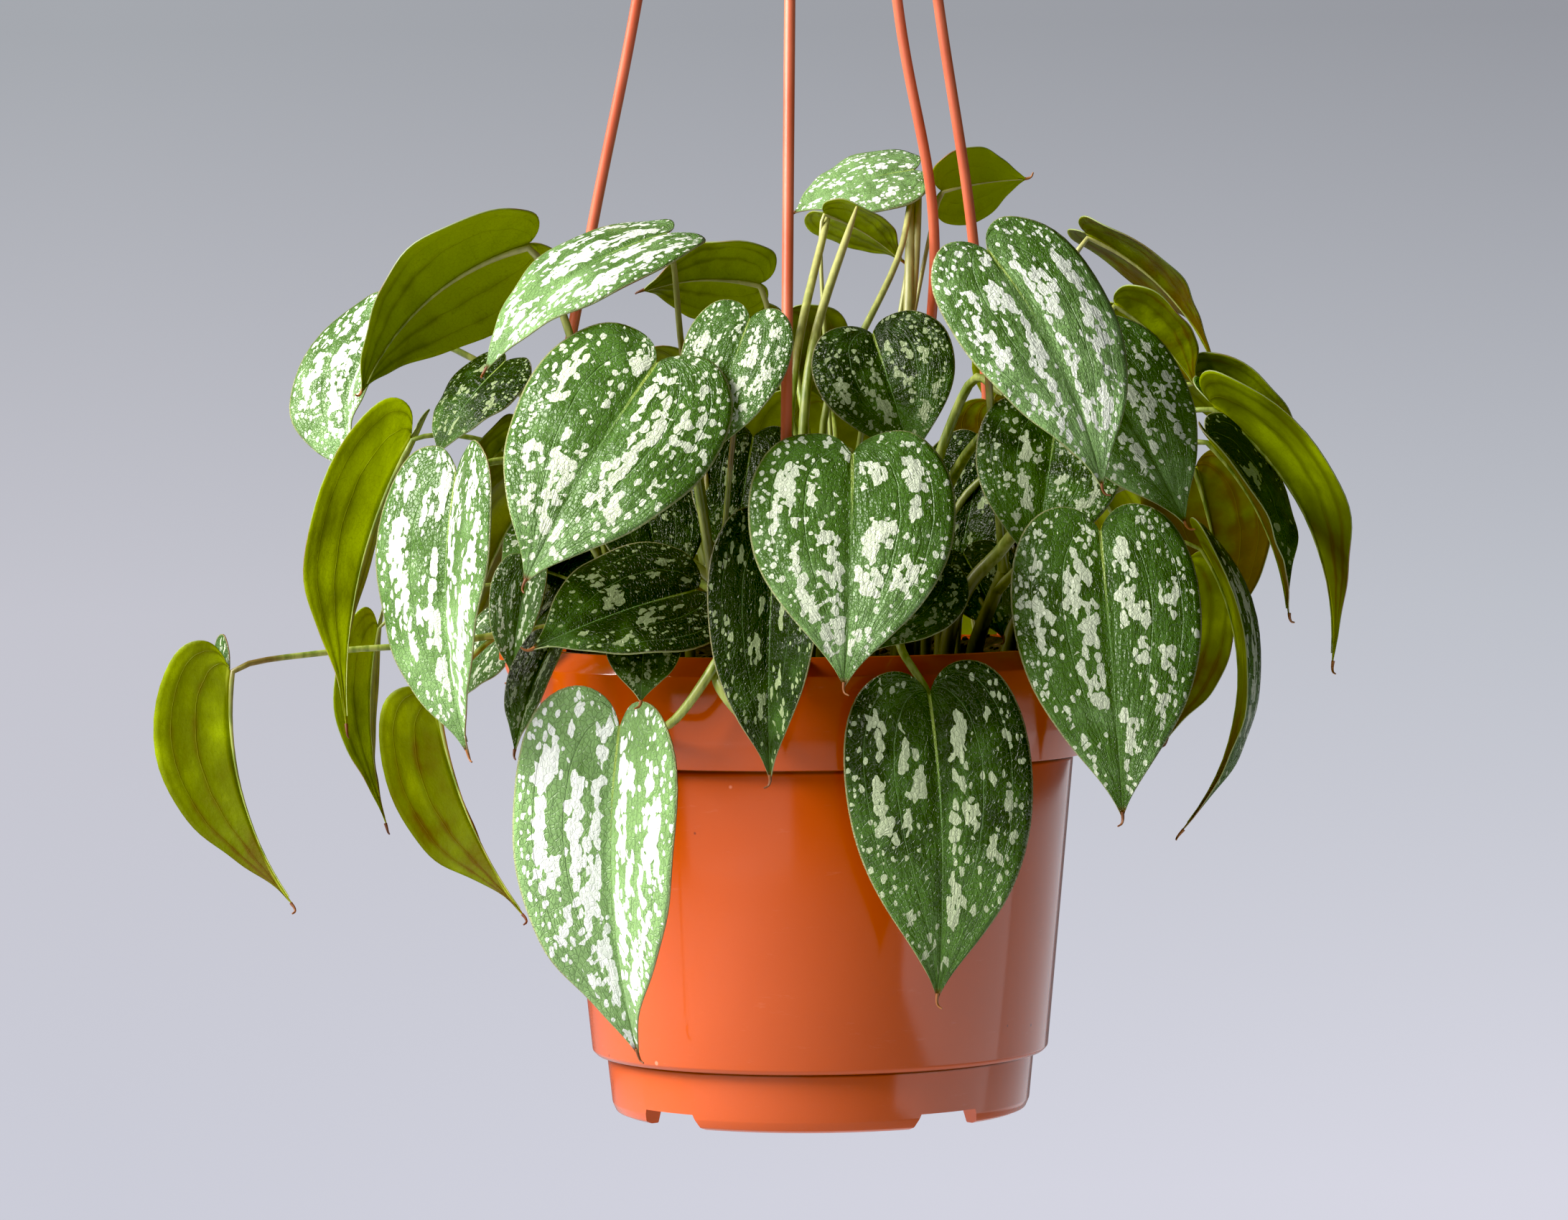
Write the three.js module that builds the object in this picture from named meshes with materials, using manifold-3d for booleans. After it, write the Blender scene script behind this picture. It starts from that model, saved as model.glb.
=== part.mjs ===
// Satin pothos in a moulded plastic hanging pot, with a four-strand hanger and its hook.
// Millimetres, +Z up. The pieces are laid out with the pot's foot at height 0 and are then let
// down together, so that the origin is the point inside the hook that bears on a nail or rail.

import * as THREE from "three";
import { mergeVertices } from "three/addons/utils/BufferGeometryUtils.js";
import Module from "manifold-3d";

const wasm = await Module();
wasm.setup();

// Pot, outer radii and heights
const COLLAR_RADIUS = 71.2;
const POT_TOP_Z = 125.6;
const RIDGE_RADIUS = 75;
const RIDGE_Z = 120.8;
const BAND_FOOT_RADIUS = 73.6;
const BAND_FOOT_Z = 96.4;
const BODY_TOP_RADIUS = 69.4;
const BODY_FOOT_RADIUS = 61.6;
const BODY_EDGE = 1.2;
const STEP_Z = 16;
const FOOT_TOP_RADIUS = 57.8;
const FOOT_RADIUS = 56.4;
const FOOT_EDGE = 3;
const WALL = 1.5;
const FLOOR_Z = 5;
const POT_SIDES = 48;
const SOIL_SIDES = 32;

// Foot ring with its notches, and the drain holes
const FOOT_RING = 2.4;
const NOTCH_AZIMUTHS = [-46, 37, 134, 217];
const NOTCH_HEIGHT = 4.2;
const NOTCH_HALF_FOOT = 11.5;
const NOTCH_HALF_TOP = 9;
const NOTCH_DEPTH = 15;
const DRAIN_COUNT = 8;
const DRAIN_RADIUS = 4;
const DRAIN_CIRCLE = 33;

// Hanger: the eyes on the rim, the strands' knobs, the hub with its sockets, and the hook
const STRAND_RADIUS = 1.5;
const STRAND_STEPS = 14;
const STRAND_UPRIGHT_LOW = 2;
const STRAND_UPRIGHT_HIGH = 6;
const EYE_CIRCLE = 81.5;
const EYE_RADIUS = 4.8;
const EYE_Z = 122.4;
const EYE_THICK = 2.8;
const EYE_HOLE = 2.8;
const KNOB_RADIUS = 3.2;
const KNOB_LENGTH = 4.8;
const HUB_Z = 540;
const HUB_RADIUS = 9;
const HUB_HEIGHT = 6;
const SOCKET_CIRCLE = 5.2;
const SOCKET_RADIUS = 2.3;
const SOCKET_DEPTH = 5;
const HOOK_ROD = 2.6;
const HOOK_STEPS = 20;
const HOOK_INNER = 10;
const HOOK_CENTRE_Z = 578;
const BOSS_SIDES = 16;
const BOSS_SHOULDER = 5;
const SHANK_LAP = 3;
const HOOK_LEAN = [6, 0, HOOK_CENTRE_Z - 16];
const HOOK_START = -20;
const HOOK_END = 190;
const HOOK_TURN = 30;
const HANG_HEIGHT = HOOK_CENTRE_Z + HOOK_INNER;

// Soil, and the clearance between neighbouring pieces
const GAP = 0.3;
const SOIL_EDGE_Z = 116;
const SOIL_CROWN_Z = 122;

// The mound's profile from its edge inwards, as shares of its radius and of its rise
const MOUND = [
  [0.7, 0.6],
  [0.35, 0.85],
];

// Stems and leaves
const STEM_RADIUS = 2.3;
const STEM_HOLE_RADIUS = 3.4;
const STEM_FOOT_Z = 98;
const PETIOLE_RADIUS = 1.2;
const PETIOLE_STEPS = 4;
const LEAF_THICK = 0.8;
const RIB_SINK = 1.1;
const RIB_REACH = 0.14;

const v2 = (x, y) => new THREE.Vector2(x, y);
const v3 = (a) => new THREE.Vector3(...a);

// Half a leaf's outline on a blade one unit long whose half is one unit wide: from the notch
// at the petiole round the lobe to the widest place, and on to the drawn-out tip
const LOBE = new THREE.CubicBezierCurve(v2(0, 0), v2(0.16, -0.16), v2(1, -0.15), v2(1, 0.25));
const FLANK = new THREE.CubicBezierCurve(v2(1, 0.25), v2(1, 0.68), v2(0.2, 0.8), v2(0, 1));
const TAILED = new THREE.CubicBezierCurve(v2(1, 0.25), v2(1, 0.68), v2(0.03, 0.68), v2(0, 1));
const LOBE_ROWS = 3;
const FLANK_ROWS = 4;
const STRIPS = 2;
const SMALL_WIDTH = 29;
const VEIN_SPREAD = 1.6;

// Each strand's eye and socket, as azimuths from the front towards +X, and points it passes
const STRANDS = [
  { name: "strand_front", eye: 354.5, socket: 354.5, via: [[-4, -46, 331]] },
  { name: "strand_left", eye: 264.5, socket: 264.5, via: [[-59, 5, 239], [-46, 3, 300]] },
  { name: "strand_right", eye: 140, socket: 84.5, via: [[45, 46, 236], [36, 36, 300]] },
  { name: "strand_back", eye: 165, socket: 174.5, via: [[34.5, 54, 234], [25, 45, 300]] },
];

// One leaf: the share of its stem's height where the petiole starts, the point where petiole
// and blade meet, the tip, the blade's width, the way its upper side looks, the midrib's bend,
// the halves' fold and roll in radians, the midrib's sideways bow as a share of its length,
// and points that the petiole passes
function leaf(at, base, tip, width, face, bend, fold, roll, sway = 0, via = []) {
  return { at, base, tip, width, face, bend, fold, roll, sway, via, flank: FLANK };
}

// A leaf whose tip is drawn out into a thin tail
const tailed = (...values) => ({ ...leaf(...values), flank: TAILED });

// Leafy stems, from the front round to the back
const VINES = [
  {
    name: "vine_front",
    stem: [[2, -26], [4, -32, 138]],
    leaves: [
      leaf(0.9, [10, -80, 178], [7, -101, 119], 54, [0, -1, 0.3], 0.5, 0.25, 0.6, 0.01, [[8, -56, 176]]),
      leaf(0.6, [-10, -81, 158], [-12, -90, 95], 33, [-0.3, -1, 0.2], 0.4, 0.6, 0.4, 0, [[-14, -55, 158]]),
      leaf(1, [16, -46, 209], [26, -58, 175], 38, [0, -1, 0.3], 0.7, 0.35, 0.6, 0, [[14, -38, 190]]),
      leaf(0.5, [30, -66, 149], [14, -80, 127], 28, [0.2, -1, 0.4], 0.4, 0.3, 0.4, 0, [[20, -50, 150]]),
    ],
  },
  {
    name: "vine_front_left",
    stem: [[-20, -34], [-26, -44, 142]],
    leaves: [
      leaf(1, [-40, -78, 202], [-74, -96, 146], 56, [-0.2, -1, 0.4], 0.5, 0.2, 0.6, 0, [[-34, -62, 190]]),
      leaf(0.4, [-31, -62, 143], [-73, -84, 129], 40, [-0.1, -0.75, 0.6], 0.4, 0.3, 0.5),
      leaf(1, [-38, -44, 236], [-85, -66, 200], 38, [-0.3, -0.5, 0.85], 0.9, 0.2, 0.5, 0, [[-34, -44, 205]]),
      leaf(0.9, [-16, -77, 213], [-28, -84, 176], 30, [0.35, -0.9, 0.3], 0.4, 0.3, 0.6, 0, [[-19, -62, 196]]),
    ],
  },
  {
    name: "vine_over_rim",
    stem: [[-12, -50], [-18, -64, 132], [-25, -79, 121], [-13, -82, 105]],
    leaves: [
      leaf(
        0.5, [-51, -68, 108], [-47.5, -56, 21], 54, [-0.5, -0.85, 0.05], 0.35, 0.55, 0.45, -0.035,
        [[-24, -80, 127], [-38, -79, 109]],
      ),
      leaf(0.4, [-44, -72, 134], [-45, -81, 115], 20, [0, -1, 0.3], 0.3, 0.3, 0.4),
    ],
  },
  {
    name: "vine_front_right",
    stem: [[24, -46], [24, -62, 134]],
    leaves: [
      leaf(0.9, [29, -84, 116], [30, -88, 38], 49, [0, -1, 0.1], 0.3, 0.25, 0.6, 0.03, [[22, -78, 128]]),
    ],
  },
  {
    name: "vine_right",
    stem: [[42, -24], [50, -34, 146]],
    leaves: [
      leaf(1, [46, -62, 230], [74, -84, 168], 44, [0.2, -0.9, 0.4], 0.5, 0.2, 0.6, 0.04, [[46, -50, 200]]),
      leaf(0.8, [74, -66, 157], [78, -88, 84], 50, [0.05, -0.95, 0.28], 0.4, 0.2, 0.6, 0, [[64, -52, 156]]),
      leaf(0.9, [64, -46, 187], [57, -60, 146], 40, [0, -0.9, 0.3], 0.5, 0.3, 0.5),
    ],
  },
  {
    name: "vine_right_side",
    stem: [[52, -2], [60, -6, 148]],
    leaves: [
      leaf(1, [70, -40, 206], [97, -56, 158], 42, [0.2, -0.9, 0.35], 0.6, 0.2, 0.6, 0, [[66, -24, 190]]),
      tailed(0.7, [104, -20, 151], [96, -26, 75], 27, [0.95, -0.2, 0.2], 1.3, 0.5, 0.4, 0, [[82, -14, 155]]),
      leaf(0.5, [100, -4, 146], [94, -8, 99], 36, [0.6, 0.7, 0.1], 0.5, 0.2, 0.5, 0, [[82, -4, 146]]),
      leaf(0.9, [82, 0, 217], [104, 4, 194], 34, [0.3, 0.5, 0.8], 0.6, 0.2, 0.6, 0, [[70, -2, 190]]),
    ],
  },
  {
    name: "vine_right_outer",
    stem: [[44, 20], [56, 18, 152]],
    leaves: [
      tailed(1, [104, 8, 196], [134, 2, 167], 32, [0.5, 0.5, 0.7], 0.8, 0.4, 0.6, 0, [[82, 14, 184]]),
      tailed(0.9, [108, -6, 189], [139, -6, 118], 38, [0.85, 0.1, 0.4], 1.1, 0.7, 0.4, 0, [[84, 6, 180]]),
      tailed(0.8, [106, -16, 180], [127, -14, 132], 36, [0.8, -0.3, 0.4], 0.7, 0.5, 0.4, 0, [[84, -2, 172]]),
      leaf(0.7, [104, 12, 172], [112, 14, 126], 38, [0.4, 0.8, 0.3], 0.6, 0.2, 0.6, 0, [[82, 14, 166]]),
      tailed(0.9, [76, 20, 236], [110, 20, 200], 34, [0.5, 0.25, 0.83], 0.8, 0.3, 0.6, 0, [[64, 18, 205]]),
    ],
  },
  {
    name: "vine_left",
    stem: [[-44, -16], [-54, -24, 146]],
    leaves: [
      leaf(
        0.9, [-93, -58, 174], [-90, -70, 101], 46, [-0.72, -0.68, 0.15], 0.5, 0.5, 0.6, -0.02,
        [[-74, -44, 176]],
      ),
      leaf(1, [-82, -20, 203], [-100, -28, 178], 30, [-0.6, -0.6, 0.6], 0.6, 0.2, 0.6, 0, [[-66, -22, 186]]),
      leaf(0.3, [-69, -51, 129], [-79, -54, 101], 15, [-0.5, -0.8, 0.3], 0.5, 0.6, 0.3),
      leaf(0.6, [-76, -20, 148], [-81, -24, 119], 18, [-0.3, -0.9, 0.2], 0.5, 0.7, 0.3),
    ],
  },
  {
    name: "vine_left_side",
    stem: [[-48, 4], [-60, 2, 150]],
    leaves: [
      leaf(1, [-76, -4, 235], [-121, -12, 195], 50, [-0.35, 0.6, 0.7], 1.2, 0.2, 0.7, 0, [[-62, -2, 198]]),
      tailed(
        0.9, [-108, -12, 183], [-125.4, -20, 105], 34, [-0.8, 0.7, 0.3], 0.8, 0.8, 0.4, 0,
        [[-84, -4, 180]],
      ),
      leaf(0.7, [-80, -6, 184], [-98, -12, 160], 28, [-0.5, 0.4, 0.7], 0.5, 0.2, 0.5),
      leaf(0.5, [-64, -6, 160], [-84, -14, 142], 26, [-0.3, -0.6, 0.8], 0.6, 0.4, 0.5),
      leaf(
        0.9, [-115, 20, 213], [-122.4, 4, 173], 43, [-0.75, -0.6, 0.3], 0.8, 0.6, 0.6, -0.16,
        [[-66, 14, 176], [-86, 19, 200]],
      ),
    ],
  },
  {
    name: "vine_left_outer",
    stem: [[-38, 28], [-56, 24, 142]],
    leaves: [
      tailed(
        0.6, [-158, -6, 121], [-141, -10, 57], 40, [-0.7, 0.7, 0.1], 1, 1, 0.3, 0,
        [[-100, 14, 127], [-132, 8, 125]],
      ),
      tailed(0.7, [-120, 20, 131], [-118, 20, 76], 22, [-0.8, 0.5, 0], 0.6, 0.6, 0.3, 0, [[-92, 24, 142]]),
      tailed(0.5, [-103, 2, 110], [-79, -6, 53], 36, [-0.7, 0.7, 0.1], 0.8, 1, 0.3, 0, [[-84, 20, 130]]),
      leaf(0.5, [-84, 30, 132], [-98, 32, 110], 24, [-0.5, -0.6, 0.6], 0.5, 0.3, 0.5),
    ],
  },
  {
    name: "vine_back",
    stem: [[2, 26], [8, 36, 150]],
    leaves: [
      leaf(1, [29, 70, 256], [-5, 68, 244], 35, [-0.1, -0.5, 0.85], 0.6, 0.2, 0.6, 0, [[23, 60, 205]]),
      leaf(0.9, [37, 66, 250], [61, 68, 253], 28, [-0.1, 0.7, 0.6], 0.4, 0.2, 0.5, 0, [[26, 58, 205]]),
      leaf(0.9, [4, 56, 244], [26, 64, 230], 26, [0.2, 0.4, 0.8], 0.5, 0.2, 0.5, 0, [[4, 48, 200]]),
      leaf(0.8, [-14, 20, 224], [-46, 12, 222], 38, [0.1, 0.6, 0.8], 0.7, 0.2, 0.5, 0, [[-8, 26, 195]]),
    ],
  },
  {
    name: "vine_back_left",
    stem: [[-20, 46], [-30, 56, 146]],
    leaves: [
      leaf(1, [-52, 76, 204], [-74, 104, 152], 52, [-0.4, 0.7, 0.4], 0.7, 0.2, 0.6, 0, [[-44, 64, 190]]),
      leaf(0.8, [-76, 62, 172], [-100, 82, 118], 46, [-0.7, 0.6, 0.3], 0.7, 0.2, 0.6, 0, [[-60, 58, 168]]),
      leaf(0.6, [-40, 88, 142], [-44, 100, 72], 46, [-0.3, 0.9, 0.1], 0.5, 0.2, 0.6, 0, [[-36, 78, 142]]),
    ],
  },
  {
    name: "vine_back_right",
    stem: [[30, 42], [42, 50, 148]],
    leaves: [
      leaf(1, [62, 74, 206], [84, 94, 152], 48, [0.5, 0.8, 0.4], 0.7, 0.2, 0.6, 0, [[42, 65, 180]]),
      leaf(0.8, [78, 48, 170], [94, 66, 114], 42, [0.7, 0.6, 0.3], 0.7, 0.2, 0.6, 0, [[64, 46, 166]]),
      leaf(0.6, [44, 86, 140], [48, 98, 70], 46, [0.3, 0.9, 0.1], 0.5, 0.2, 0.6, 0, [[44, 76, 142]]),
    ],
  },
  {
    name: "vine_back_middle",
    stem: [[4, 54], [6, 64, 144]],
    leaves: [
      leaf(1, [4, 92, 190], [6, 116, 128], 54, [0, 0.9, 0.4], 0.7, 0.2, 0.6, 0, [[6, 78, 184]]),
      leaf(0.7, [-8, 86, 216], [-18, 114, 172], 44, [-0.2, 0.8, 0.5], 0.7, 0.2, 0.6, 0, [[-2, 74, 185]]),
    ],
  },
];

// A closed geometry as a solid; one whose faces look inwards is turned
function toSolid(geometry) {
  const bare = geometry.clone();
  bare.deleteAttribute("normal");
  bare.deleteAttribute("uv");
  const merged = mergeVertices(bare, 1e-4);
  const vertProperties = merged.attributes.position.array;
  const triVerts = new Uint32Array(merged.index.array);
  const build = () => new wasm.Manifold(new wasm.Mesh({ numProp: 3, vertProperties, triVerts }));
  const solid = build();
  if (solid.volume() > 0) {
    return solid;
  }
  for (let i = 0; i < triVerts.length; i += 3) {
    [triVerts[i + 1], triVerts[i + 2]] = [triVerts[i + 2], triVerts[i + 1]];
  }
  return build();
}

function join(solids) {
  return solids.reduce((whole, piece) => whole.add(piece));
}

function cut(solid, tools) {
  return tools.reduce((rest, tool) => rest.subtract(tool), solid);
}

function piece(name, solid, material) {
  const mesh = solid.getMesh();
  const geometry = new THREE.BufferGeometry();
  geometry.setAttribute("position", new THREE.BufferAttribute(mesh.vertProperties, 3));
  geometry.setIndex(new THREE.BufferAttribute(mesh.triVerts, 1));
  geometry.computeVertexNormals();
  const made = new THREE.Mesh(geometry, material);
  made.name = name;
  return made;
}

// A body turned about +Z from [radius, height] points
function turned(points, sides) {
  const geometry = new THREE.LatheGeometry(points.map(([r, z]) => v2(r, z)), sides);
  return toSolid(geometry.rotateX(Math.PI / 2));
}

// An upright cylinder that stands on the point [x, y, z]
function post(radius, height, [x, y, z], sides = 8) {
  const geometry = new THREE.CylinderGeometry(radius, radius, height, sides);
  geometry.rotateX(Math.PI / 2).translate(x, y, z + height / 2);
  return toSolid(geometry);
}

// A rod of a regular section along a smooth curve through points
function rod(points, radius, sides, steps) {
  const section = new THREE.Shape();
  for (let i = 0; i < sides; i++) {
    const angle = (2 * Math.PI * i) / sides;
    section[i === 0 ? "moveTo" : "lineTo"](radius * Math.cos(angle), radius * Math.sin(angle));
  }
  section.closePath();
  const extrudePath = new THREE.CatmullRomCurve3(points);
  return toSolid(new THREE.ExtrudeGeometry(section, { steps, extrudePath }));
}

// A place on a circle, by azimuth in degrees from the front (-Y) towards +X
function around(radius, azimuth, z) {
  const a = THREE.MathUtils.degToRad(azimuth);
  return [radius * Math.sin(a), -radius * Math.cos(a), z];
}

// Pot: foot, body, rim band and sloping collar in one thin wall that follows the outside
function potShell() {
  const outside = [
    [FOOT_RADIUS - FOOT_EDGE, 0],
    [FOOT_RADIUS - FOOT_EDGE * 0.35, FOOT_EDGE * 0.25],
    [FOOT_RADIUS, FOOT_EDGE],
    [FOOT_TOP_RADIUS, STEP_Z],
    [BODY_FOOT_RADIUS - BODY_EDGE, STEP_Z],
    [BODY_FOOT_RADIUS, STEP_Z + BODY_EDGE],
    [BODY_TOP_RADIUS, BAND_FOOT_Z],
    [BAND_FOOT_RADIUS, BAND_FOOT_Z],
    [RIDGE_RADIUS, RIDGE_Z],
    [COLLAR_RADIUS, POT_TOP_Z],
  ];
  const inside = [
    [COLLAR_RADIUS - WALL, POT_TOP_Z],
    [RIDGE_RADIUS - 1.5 * WALL, RIDGE_Z - WALL / 2],
    [BAND_FOOT_RADIUS - WALL, BAND_FOOT_Z + WALL],
    [BODY_TOP_RADIUS - WALL, BAND_FOOT_Z + WALL],
    [BODY_FOOT_RADIUS - WALL, STEP_Z + WALL + BODY_EDGE],
    [FOOT_TOP_RADIUS - WALL, STEP_Z + WALL],
    [FOOT_RADIUS - WALL, FLOOR_Z + 2 * WALL],
    [FOOT_RADIUS - 2 * WALL, FLOOR_Z + WALL],
    [0, FLOOR_Z + WALL],
  ];
  const underside = [
    [0, FLOOR_Z],
    [FOOT_RADIUS - FOOT_EDGE - FOOT_RING, FLOOR_Z],
    [FOOT_RADIUS - FOOT_EDGE - FOOT_RING, 0],
  ];
  return turned([...underside, ...outside, ...inside], POT_SIDES);
}

// A notch in the foot, wider at the bottom, as a wedge that runs outwards at an azimuth
function footNotch(azimuth) {
  const outline = new THREE.Shape([
    v2(-NOTCH_HALF_FOOT - 1, -1),
    v2(NOTCH_HALF_FOOT + 1, -1),
    v2(NOTCH_HALF_TOP, NOTCH_HEIGHT),
    v2(-NOTCH_HALF_TOP, NOTCH_HEIGHT),
  ]);
  const geometry = new THREE.ExtrudeGeometry(outline, { depth: NOTCH_DEPTH, bevelEnabled: false });
  geometry.rotateX(Math.PI / 2).translate(0, NOTCH_DEPTH - FOOT_TOP_RADIUS - 2, 0);
  return toSolid(geometry.rotateZ(THREE.MathUtils.degToRad(azimuth)));
}

// An eye on the rim: a flat tongue with a round end and a hole for the strand
function rimEye(azimuth) {
  const reach = EYE_CIRCLE - COLLAR_RADIUS;
  const tongue = new THREE.BoxGeometry(2 * EYE_RADIUS, reach, EYE_THICK);
  tongue.translate(0, -COLLAR_RADIUS - reach / 2, EYE_Z + EYE_THICK / 2);
  tongue.rotateZ(THREE.MathUtils.degToRad(azimuth));
  const end = post(EYE_RADIUS, EYE_THICK, around(EYE_CIRCLE, azimuth, EYE_Z), 12);
  return toSolid(tongue).add(end);
}

function pot() {
  const eyes = STRANDS.map(({ eye }) => rimEye(eye));
  const openings = NOTCH_AZIMUTHS.map(footNotch);
  for (const { eye } of STRANDS) {
    openings.push(post(EYE_HOLE, 3 * EYE_THICK, around(EYE_CIRCLE, eye, EYE_Z - EYE_THICK)));
  }
  for (let i = 0; i < DRAIN_COUNT; i++) {
    const place = around(DRAIN_CIRCLE, (360 * i) / DRAIN_COUNT, FLOOR_Z - WALL);
    openings.push(post(DRAIN_RADIUS, 3 * WALL, place));
  }
  return cut(join([potShell(), ...eyes]), openings);
}

// Soil: the pot's inside filled to a low mound, with a plain hole for each stem
function soil() {
  const edge = BAND_FOOT_RADIUS - WALL - GAP;
  const rise = SOIL_CROWN_Z - SOIL_EDGE_Z;
  const outline = [
    [0, FLOOR_Z + WALL + GAP],
    [FOOT_RADIUS - 2 * WALL - GAP, FLOOR_Z + WALL + GAP],
    [FOOT_RADIUS - WALL - 2 * GAP, FLOOR_Z + 2 * WALL + GAP],
    [FOOT_TOP_RADIUS - WALL - GAP, STEP_Z + WALL + GAP],
    [BODY_FOOT_RADIUS - WALL - GAP, STEP_Z + WALL + BODY_EDGE + GAP],
    [BODY_TOP_RADIUS - WALL - GAP, BAND_FOOT_Z + WALL + GAP],
    [edge, BAND_FOOT_Z + WALL + GAP],
    [edge, SOIL_EDGE_Z],
    ...MOUND.map(([out, up]) => [out * edge, SOIL_EDGE_Z + up * rise]),
    [0, SOIL_CROWN_Z],
  ];
  const depth = SOIL_CROWN_Z - STEM_FOOT_Z + STEM_HOLE_RADIUS;
  const holes = VINES.map(({ stem: [[x, y]] }) =>
    post(STEM_HOLE_RADIUS, depth, [x, y, STEM_FOOT_Z - GAP]),
  );
  return cut(turned(outline, SOIL_SIDES), holes);
}

// A strand with its knob under the rim eye, gently bowed on its way up into the hub's socket
function strand({ eye, socket, via }) {
  const low = v3(around(EYE_CIRCLE, eye, 0));
  const high = v3(around(SOCKET_CIRCLE, socket, 0));
  const knobTop = EYE_Z - GAP;
  const socketTop = HUB_Z + SOCKET_DEPTH - GAP;
  const points = [
    low.clone().setZ(knobTop - KNOB_LENGTH / 2),
    low.clone().setZ(EYE_Z + EYE_THICK + STRAND_UPRIGHT_LOW),
    ...via.map(v3),
    high.clone().setZ(HUB_Z - STRAND_UPRIGHT_HIGH),
    high.clone().setZ(socketTop),
  ];
  const knob = new THREE.CylinderGeometry(KNOB_RADIUS, KNOB_RADIUS * 0.6, KNOB_LENGTH, 10);
  knob.rotateX(Math.PI / 2).translate(low.x, low.y, knobTop - KNOB_LENGTH / 2);
  return toSolid(knob).add(rod(points, STRAND_RADIUS, 6, STRAND_STEPS));
}

// Hub and hook: a round boss with four sockets, a shank and a round hook over the axis
function hangerHook() {
  const shankZ = HUB_Z + HUB_HEIGHT + BOSS_SHOULDER;
  const boss = turned(
    [
      [0, HUB_Z],
      [HUB_RADIUS - 1, HUB_Z],
      [HUB_RADIUS, HUB_Z + 1],
      [HUB_RADIUS, HUB_Z + HUB_HEIGHT],
      [HOOK_ROD + 1, shankZ],
      [0, shankZ],
    ],
    BOSS_SIDES,
  );
  const sockets = STRANDS.map(({ socket }) =>
    post(SOCKET_RADIUS, SOCKET_DEPTH + 2, around(SOCKET_CIRCLE, socket, HUB_Z - 2)),
  );
  const bendRadius = HOOK_INNER + HOOK_ROD;
  const points = [
    [0, 0, shankZ - SHANK_LAP],
    [0, 0, shankZ + SHANK_LAP],
    HOOK_LEAN,
  ];
  for (let angle = HOOK_START; angle <= HOOK_END; angle += HOOK_TURN) {
    const a = THREE.MathUtils.degToRad(angle);
    points.push([bendRadius * Math.cos(a), 0, HOOK_CENTRE_Z + bendRadius * Math.sin(a)]);
  }
  return cut(boss, sockets).add(rod(points.map(v3), HOOK_ROD, 8, HOOK_STEPS));
}

// The flat blade's point at a share of the outline and a share of the way out from the midrib
function flatBlade(flank, t, s) {
  const split = LOBE_ROWS / (LOBE_ROWS + FLANK_ROWS);
  const edge = t < split ? LOBE.getPoint(t / split) : flank.getPoint((t - split) / (1 - split));
  return v2(edge.x * s, THREE.MathUtils.lerp(t ** VEIN_SPREAD, edge.y, s));
}

// Where a point of the flat blade lies on the leaf: the midrib is an arc from base to tip that
// also bows sideways, and each half rises from it by the fold and rolls down towards its
// margin. sink goes below the upper side.
function onLeaf({ base, tip, width, face, bend, fold, roll, sway }, across, down, sink = 0) {
  const along = v3(tip).sub(v3(base));
  const chord = along.length();
  along.normalize();
  const up = v3(face).addScaledVector(along, -v3(face).dot(along)).normalize();
  const side = up.clone().cross(along);
  const arc = chord / (2 * Math.sin(bend / 2));
  const turn = bend * (down - 0.5);
  const out = along.clone().multiplyScalar(Math.sin(turn)).addScaledVector(up, Math.cos(turn));
  const ahead = along.clone().multiplyScalar(Math.cos(turn)).addScaledVector(up, -Math.sin(turn));
  const slew = Math.atan(4 * sway * (1 - 2 * down));
  const span = side.clone().multiplyScalar(Math.cos(slew)).addScaledVector(ahead, -Math.sin(slew));
  const reach = width / (2 * roll);
  const tilt = fold - roll * Math.abs(across);
  return v3(base)
    .addScaledVector(along, chord / 2 + arc * Math.sin(turn))
    .addScaledVector(up, arc * (Math.cos(turn) - Math.cos(bend / 2)))
    .addScaledVector(side, 4 * sway * chord * down * (1 - down))
    .addScaledVector(span, Math.sign(across) * reach * (Math.sin(fold) - Math.sin(tilt)))
    .addScaledVector(out, reach * (Math.cos(tilt) - Math.cos(fold)) - sink);
}

// A thin solid from an open sheet: the sheet, its copy one thickness below, and the edge
function thicken(sheet, thickness) {
  const merged = mergeVertices(sheet, 1e-3);
  merged.computeVertexNormals();
  const { position, normal } = merged.attributes;
  const count = position.count;
  const vertices = new Float32Array(count * 6);
  for (let i = 0; i < count; i++) {
    for (let k = 0; k < 3; k++) {
      const at = position.array[3 * i + k];
      vertices[3 * i + k] = at;
      vertices[3 * (count + i) + k] = at - thickness * normal.array[3 * i + k];
    }
  }
  const faces = [];
  const open = new Map();
  for (let i = 0; i < merged.index.count; i += 3) {
    const [a, b, c] = merged.index.array.slice(i, i + 3);
    if (a === b || b === c || c === a) {
      continue;
    }
    faces.push(a, b, c, count + a, count + c, count + b);
    for (const [from, to] of [[a, b], [b, c], [c, a]]) {
      if (!open.delete(to + "," + from)) {
        open.set(from + "," + to, [from, to]);
      }
    }
  }
  for (const [from, to] of open.values()) {
    faces.push(to, from, count + from, to, count + from, count + to);
  }
  const geometry = new THREE.BufferGeometry();
  geometry.setAttribute("position", new THREE.BufferAttribute(vertices, 3));
  geometry.setIndex(faces);
  return toSolid(geometry);
}

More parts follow.
